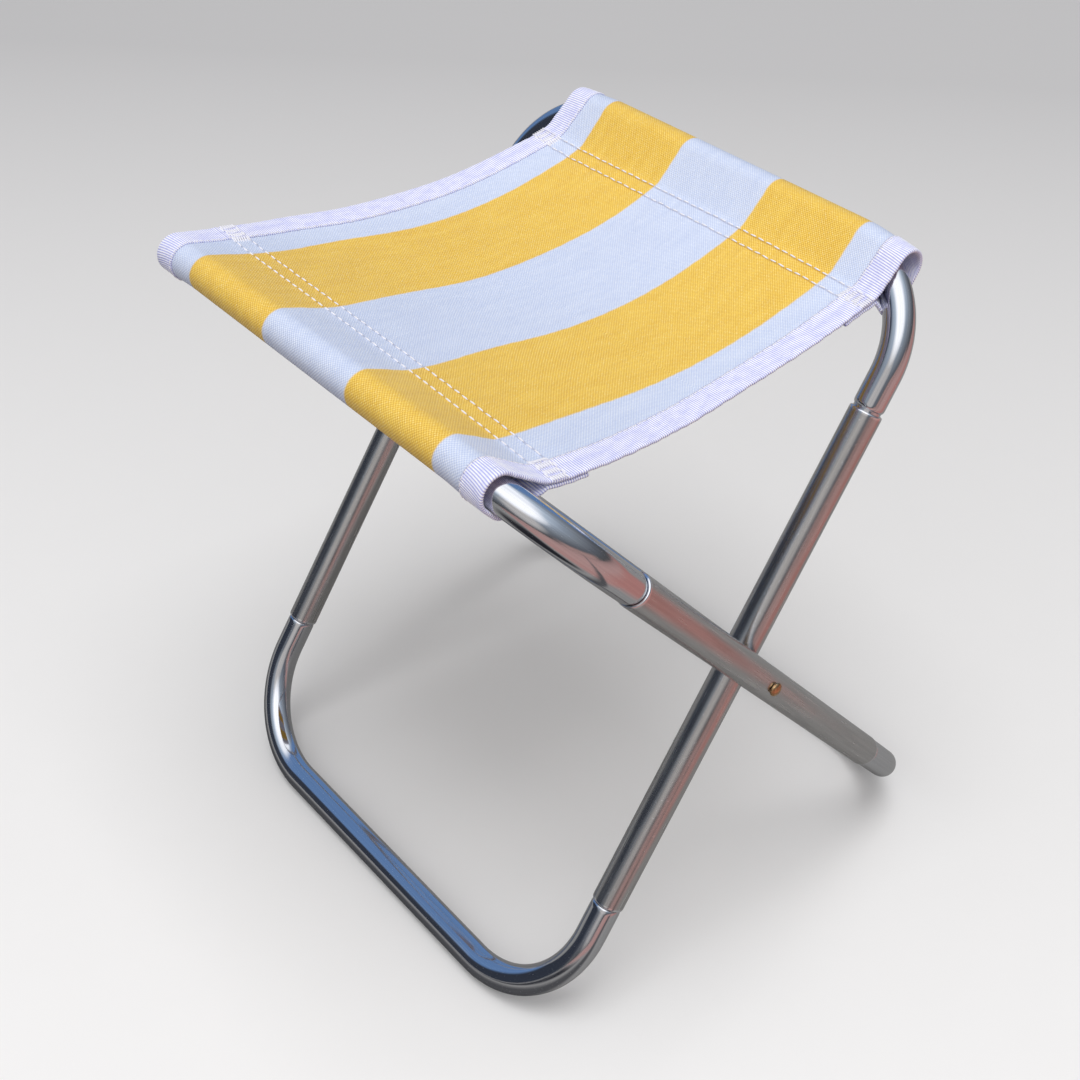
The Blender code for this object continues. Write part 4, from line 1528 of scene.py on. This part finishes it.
    def binding_lines(self) -> list[np.ndarray]:
        """Draws the seams that hold the binding.

        Returns:
            Their lines on both faces of the binding, along both edges.
        """
        run = Run.of(*self.thread_run)
        insets = self.inset_step * np.array((-1, 0, 1)) + self.tape_width - self.binding_seam
        rise = self.thickness / 2 + self.tape_clear + self.tape_thickness
        rise = rise + self.seam_stitch.thread * self.binding_stand
        lines = []
        for share, inward in ((0.0, 1.0), (1.0, -1.0)):
            grid = np.stack([self.section(run, share, inward * inset) for inset in insets])
            normal = self.normals(grid)[1] * inward
            lines += [grid[1] + rise * normal, grid[1] - rise * normal]
        return lines

    def stitches(self, name: str, lines: list[np.ndarray], stitch: Stitch) -> Piece:
        """Lays stitches along lines.

        Args:
            name: The piece's name.
            lines: The lines.
            stitch: The sizes of the stitches.

        Returns:
            The stitches as one piece.
        """
        joins, start = [], 0
        for line in lines:
            joins += [(start + index, start + index + 1) for index in range(len(line) - 1)]
            start += len(line)
        piece = new_piece(name, np.concatenate(lines), [], lines=joins)
        sizes = {"Pitch": stitch.pitch, "Stitch Length": stitch.length, "Thread Radius": stitch.thread}
        return self.supplies.stitches.apply(piece, {**sizes, "Finish": self.supplies.thread})

    def build(self) -> None:
        """Builds and mounts the half of the seat."""
        body = f"{self.name}_seat"
        cloth, length = self.cloth()
        mount(cloth, body, "striped_cloth", f"{self.name}_seat_cloth")
        for side in ("left", "right"):
            tape = self.tape(side)
            nodes = [f"{self.name}_{side}_{place}_tape" for place in ("edge", "mouth")]
            mount(tape, body, "ribbed_tape", *nodes)
        rows = {
            "sleeve_stitches": (self.seam_lines(), self.seam_stitch),
            "binding_stitches": (self.binding_lines(), self.binding_stitch),
            "corner_tacks": (self.tack_lines(), self.tack_stitch),
        }
        for name, (lines, stitch) in rows.items():
            piece = self.stitches(f"{self.name}_{name}", lines, stitch)
            mount(piece, body, "ribbed_tape")
        f"{self.name}_seat_bar"


@dataclass
class Viewpoint:
    """The camera: where it stands, how it is turned, and its lens."""

    place: tuple[float, float, float] = (-0.3958949, -0.5070988, 0.7126737)
    yaw: float = 0.7032
    pitch: float = 0.6477
    roll: float = 0.0249
    focal_pixels: float = 1626.7646
    centre_pixels: tuple[float, float] = (60.0, -100.0)
    sensor: float = 36.0
    clip_start: float = 0.01

    def build(self) -> None:
        """Makes the camera and sets it as the scene's own."""
        level = math.cos(self.pitch)
        forward = Vector((level * math.sin(self.yaw), level * math.cos(self.yaw), -math.sin(self.pitch)))
        right = Vector((math.cos(self.yaw), -math.sin(self.yaw), 0.0))
        down = forward.cross(right)
        tilted_right = math.cos(self.roll) * right + math.sin(self.roll) * down
        tilted_down = math.cos(self.roll) * down - math.sin(self.roll) * right
        data = bpy.data.cameras.new("viewpoint")
        data.sensor_width = self.sensor
        data.lens = self.focal_pixels * self.sensor / IMAGE_PIXELS
        data.shift_x = -self.centre_pixels[0] / IMAGE_PIXELS
        data.shift_y = self.centre_pixels[1] / IMAGE_PIXELS
        data.clip_start = self.clip_start
        camera = bpy.data.objects.new("viewpoint", data)
        turn = Matrix((tilted_right, -tilted_down, -forward)).transposed().to_4x4()
        camera.matrix_world = Matrix.Translation(self.place) @ turn
        bpy.context.scene.collection.objects.link(camera)
        bpy.context.scene.camera = camera


@dataclass(frozen=True)
class Patch:
    """A patch of the mirrored room: the way to it, how its rim fades, its colour and its upper end."""

    toward: tuple[float, float, float]
    fade: tuple[float, float]
    colour: Colour
    height: Optional[tuple[float, float]] = None

    def amount(self, x: Value, y: Value, z: Value) -> Value:
        """How much of the patch shows in a direction."""
        amount = (x * self.toward[0] + y * self.toward[1] + z * self.toward[2]).rise(*self.fade)
        return amount * z.rise(*self.height) if self.height else amount


@dataclass
class Studio:
    """Pale floor, soft light from above, and the room that the bright tubes mirror."""

    floor_half: float = 6.0
    floor_height: float = -0.2 * MM
    fill: float = 0.60
    fill_toward: tuple[float, float, float] = (-0.85, -0.40, 0.25)
    slant: float = 0.95
    low_fill: float = 0.3
    full_height: float = 0.45
    horizon: float = 0.74
    lamp_power: float = 77.0
    lamp_place: tuple[float, float, float] = (-0.1, -0.6, 4.0)
    lamp_size: float = 2.4
    walls: tuple[tuple[float, Colour], ...] = (
        (0.0, (0.08, 0.085, 0.09)), (0.2, (0.13, 0.14, 0.165)), (0.4, (0.225, 0.25, 0.285)),
        (0.6, (0.31, 0.36, 0.43)), (0.78, (0.55, 0.64, 0.76)), (0.9, (1.15, 1.18, 1.25)),
    )
    blue: Patch = Patch((0.26, 0.966, 0.0), (0.22, 0.36), (0.136, 0.247, 0.475))
    dark: Patch = Patch((-0.77, 0.64, 0.0), (0.74, 0.86), (0.035, 0.042, 0.06), (0.60, 0.50))
    warm: Patch = Patch((0.0, 1.0, 0.0), (-0.80, -0.94), (0.42, 0.27, 0.25), (0.13, 0.06))
    pale: Patch = Patch((-0.76, -0.5, 0.42), (0.90, 0.97), (0.56, 0.54, 0.53))
    glow: Patch = Patch((-0.26, -0.355, 0.898), (0.84, 0.95), (1.35, 1.36, 1.4))

    def floor(self) -> None:
        """Lays the floor."""
        ends = (-self.floor_half, self.floor_half)
        corners = [(x, y, self.floor_height) for y in ends for x in (ends if y < 0 else ends[::-1])]
        new_piece("floor", np.array(corners), [(0, 1, 2, 3)], PaleFloor().material())

    def lamp(self) -> None:
        """Hangs the soft lamp, which the tubes don't mirror."""
        data = bpy.data.lights.new("overhead", "AREA")
        data.energy = self.lamp_power
        data.shape = "SQUARE"
        data.size = self.lamp_size
        lamp = bpy.data.objects.new("overhead", data)
        lamp.location = self.lamp_place
        lamp.rotation_euler = Vector(self.lamp_place).to_track_quat("Z", "Y").to_euler()
        lamp.visible_glossy = False
        bpy.context.scene.collection.objects.link(lamp)

    def room(self) -> None:
        """Fills the world with plain light, and with a room's colours where a tube mirrors it."""
        world = bpy.data.worlds.new("studio")
        bpy.context.scene.world = world
        recipe = Recipe(world)
        x, y, z = recipe.split(recipe.node("ShaderNodeTexCoord", {}, {}).outputs["Generated"])
        mirrored = recipe.node("ShaderNodeValToRGB", {"stops": self.walls}, {0: z}).outputs[0]
        for patch in (self.blue, self.dark, self.warm, self.pale, self.glow):
            mirrored = recipe.mix(patch.amount(x, y, z), mirrored, patch.colour)
        rays = recipe.node("ShaderNodeLightPath", {}, {}).outputs
        height = z.rise(0.0, self.full_height) * (1 - self.low_fill) + self.low_fill
        side = x * self.fill_toward[0] + y * self.fill_toward[1] + z * self.fill_toward[2]
        level = (side * self.slant + 1.0) * height * self.fill
        plain = recipe.mix(rays["Is Camera Ray"], recipe.join(level, level, level), (self.horizon,) * 3)
        colour = recipe.mix(rays["Is Glossy Ray"], plain, mirrored)
        background = recipe.node("ShaderNodeBackground", {}, {"Color": colour, "Strength": 1.0})
        recipe.node("ShaderNodeOutputWorld", {}, {"Surface": background.outputs[0]})

    def build(self) -> None:
        """Builds the studio."""
        self.floor()
        self.lamp()
        self.room()
        bpy.context.scene.view_settings.view_transform = "Standard"


def main() -> None:
    """Builds the camera, the stool and the studio."""
    logging.basicConfig(level=logging.INFO, format="%(message)s")
    Viewpoint().build()
    supplies = Supplies()
    outer = TubeFrame("outer", supplies, -1.0, 150.8 * MM)
    inner = TubeFrame("inner", supplies, 1.0, 133.6 * MM)
    for tubes in (outer, inner):
        tubes.build()
    Pivots(joint_place("fold").z, supplies).build()
    halves = (
        SeatHalf(outer, supplies, joint_place("outer_sleeve_turn"), roll=8.0 * MM, outer_row=23.2 * MM,
                 puff=1.4 * MM, mouth_give=0.0),
        SeatHalf(inner, supplies, joint_place("inner_sleeve_turn"), roll=8.9 * MM, outer_row=24.0 * MM,
                 puff=0.3 * MM, mouth_give=0.14),
    )
    for half in halves:
        half.build()
    Studio().build()


if __name__ == "__main__":
    main()
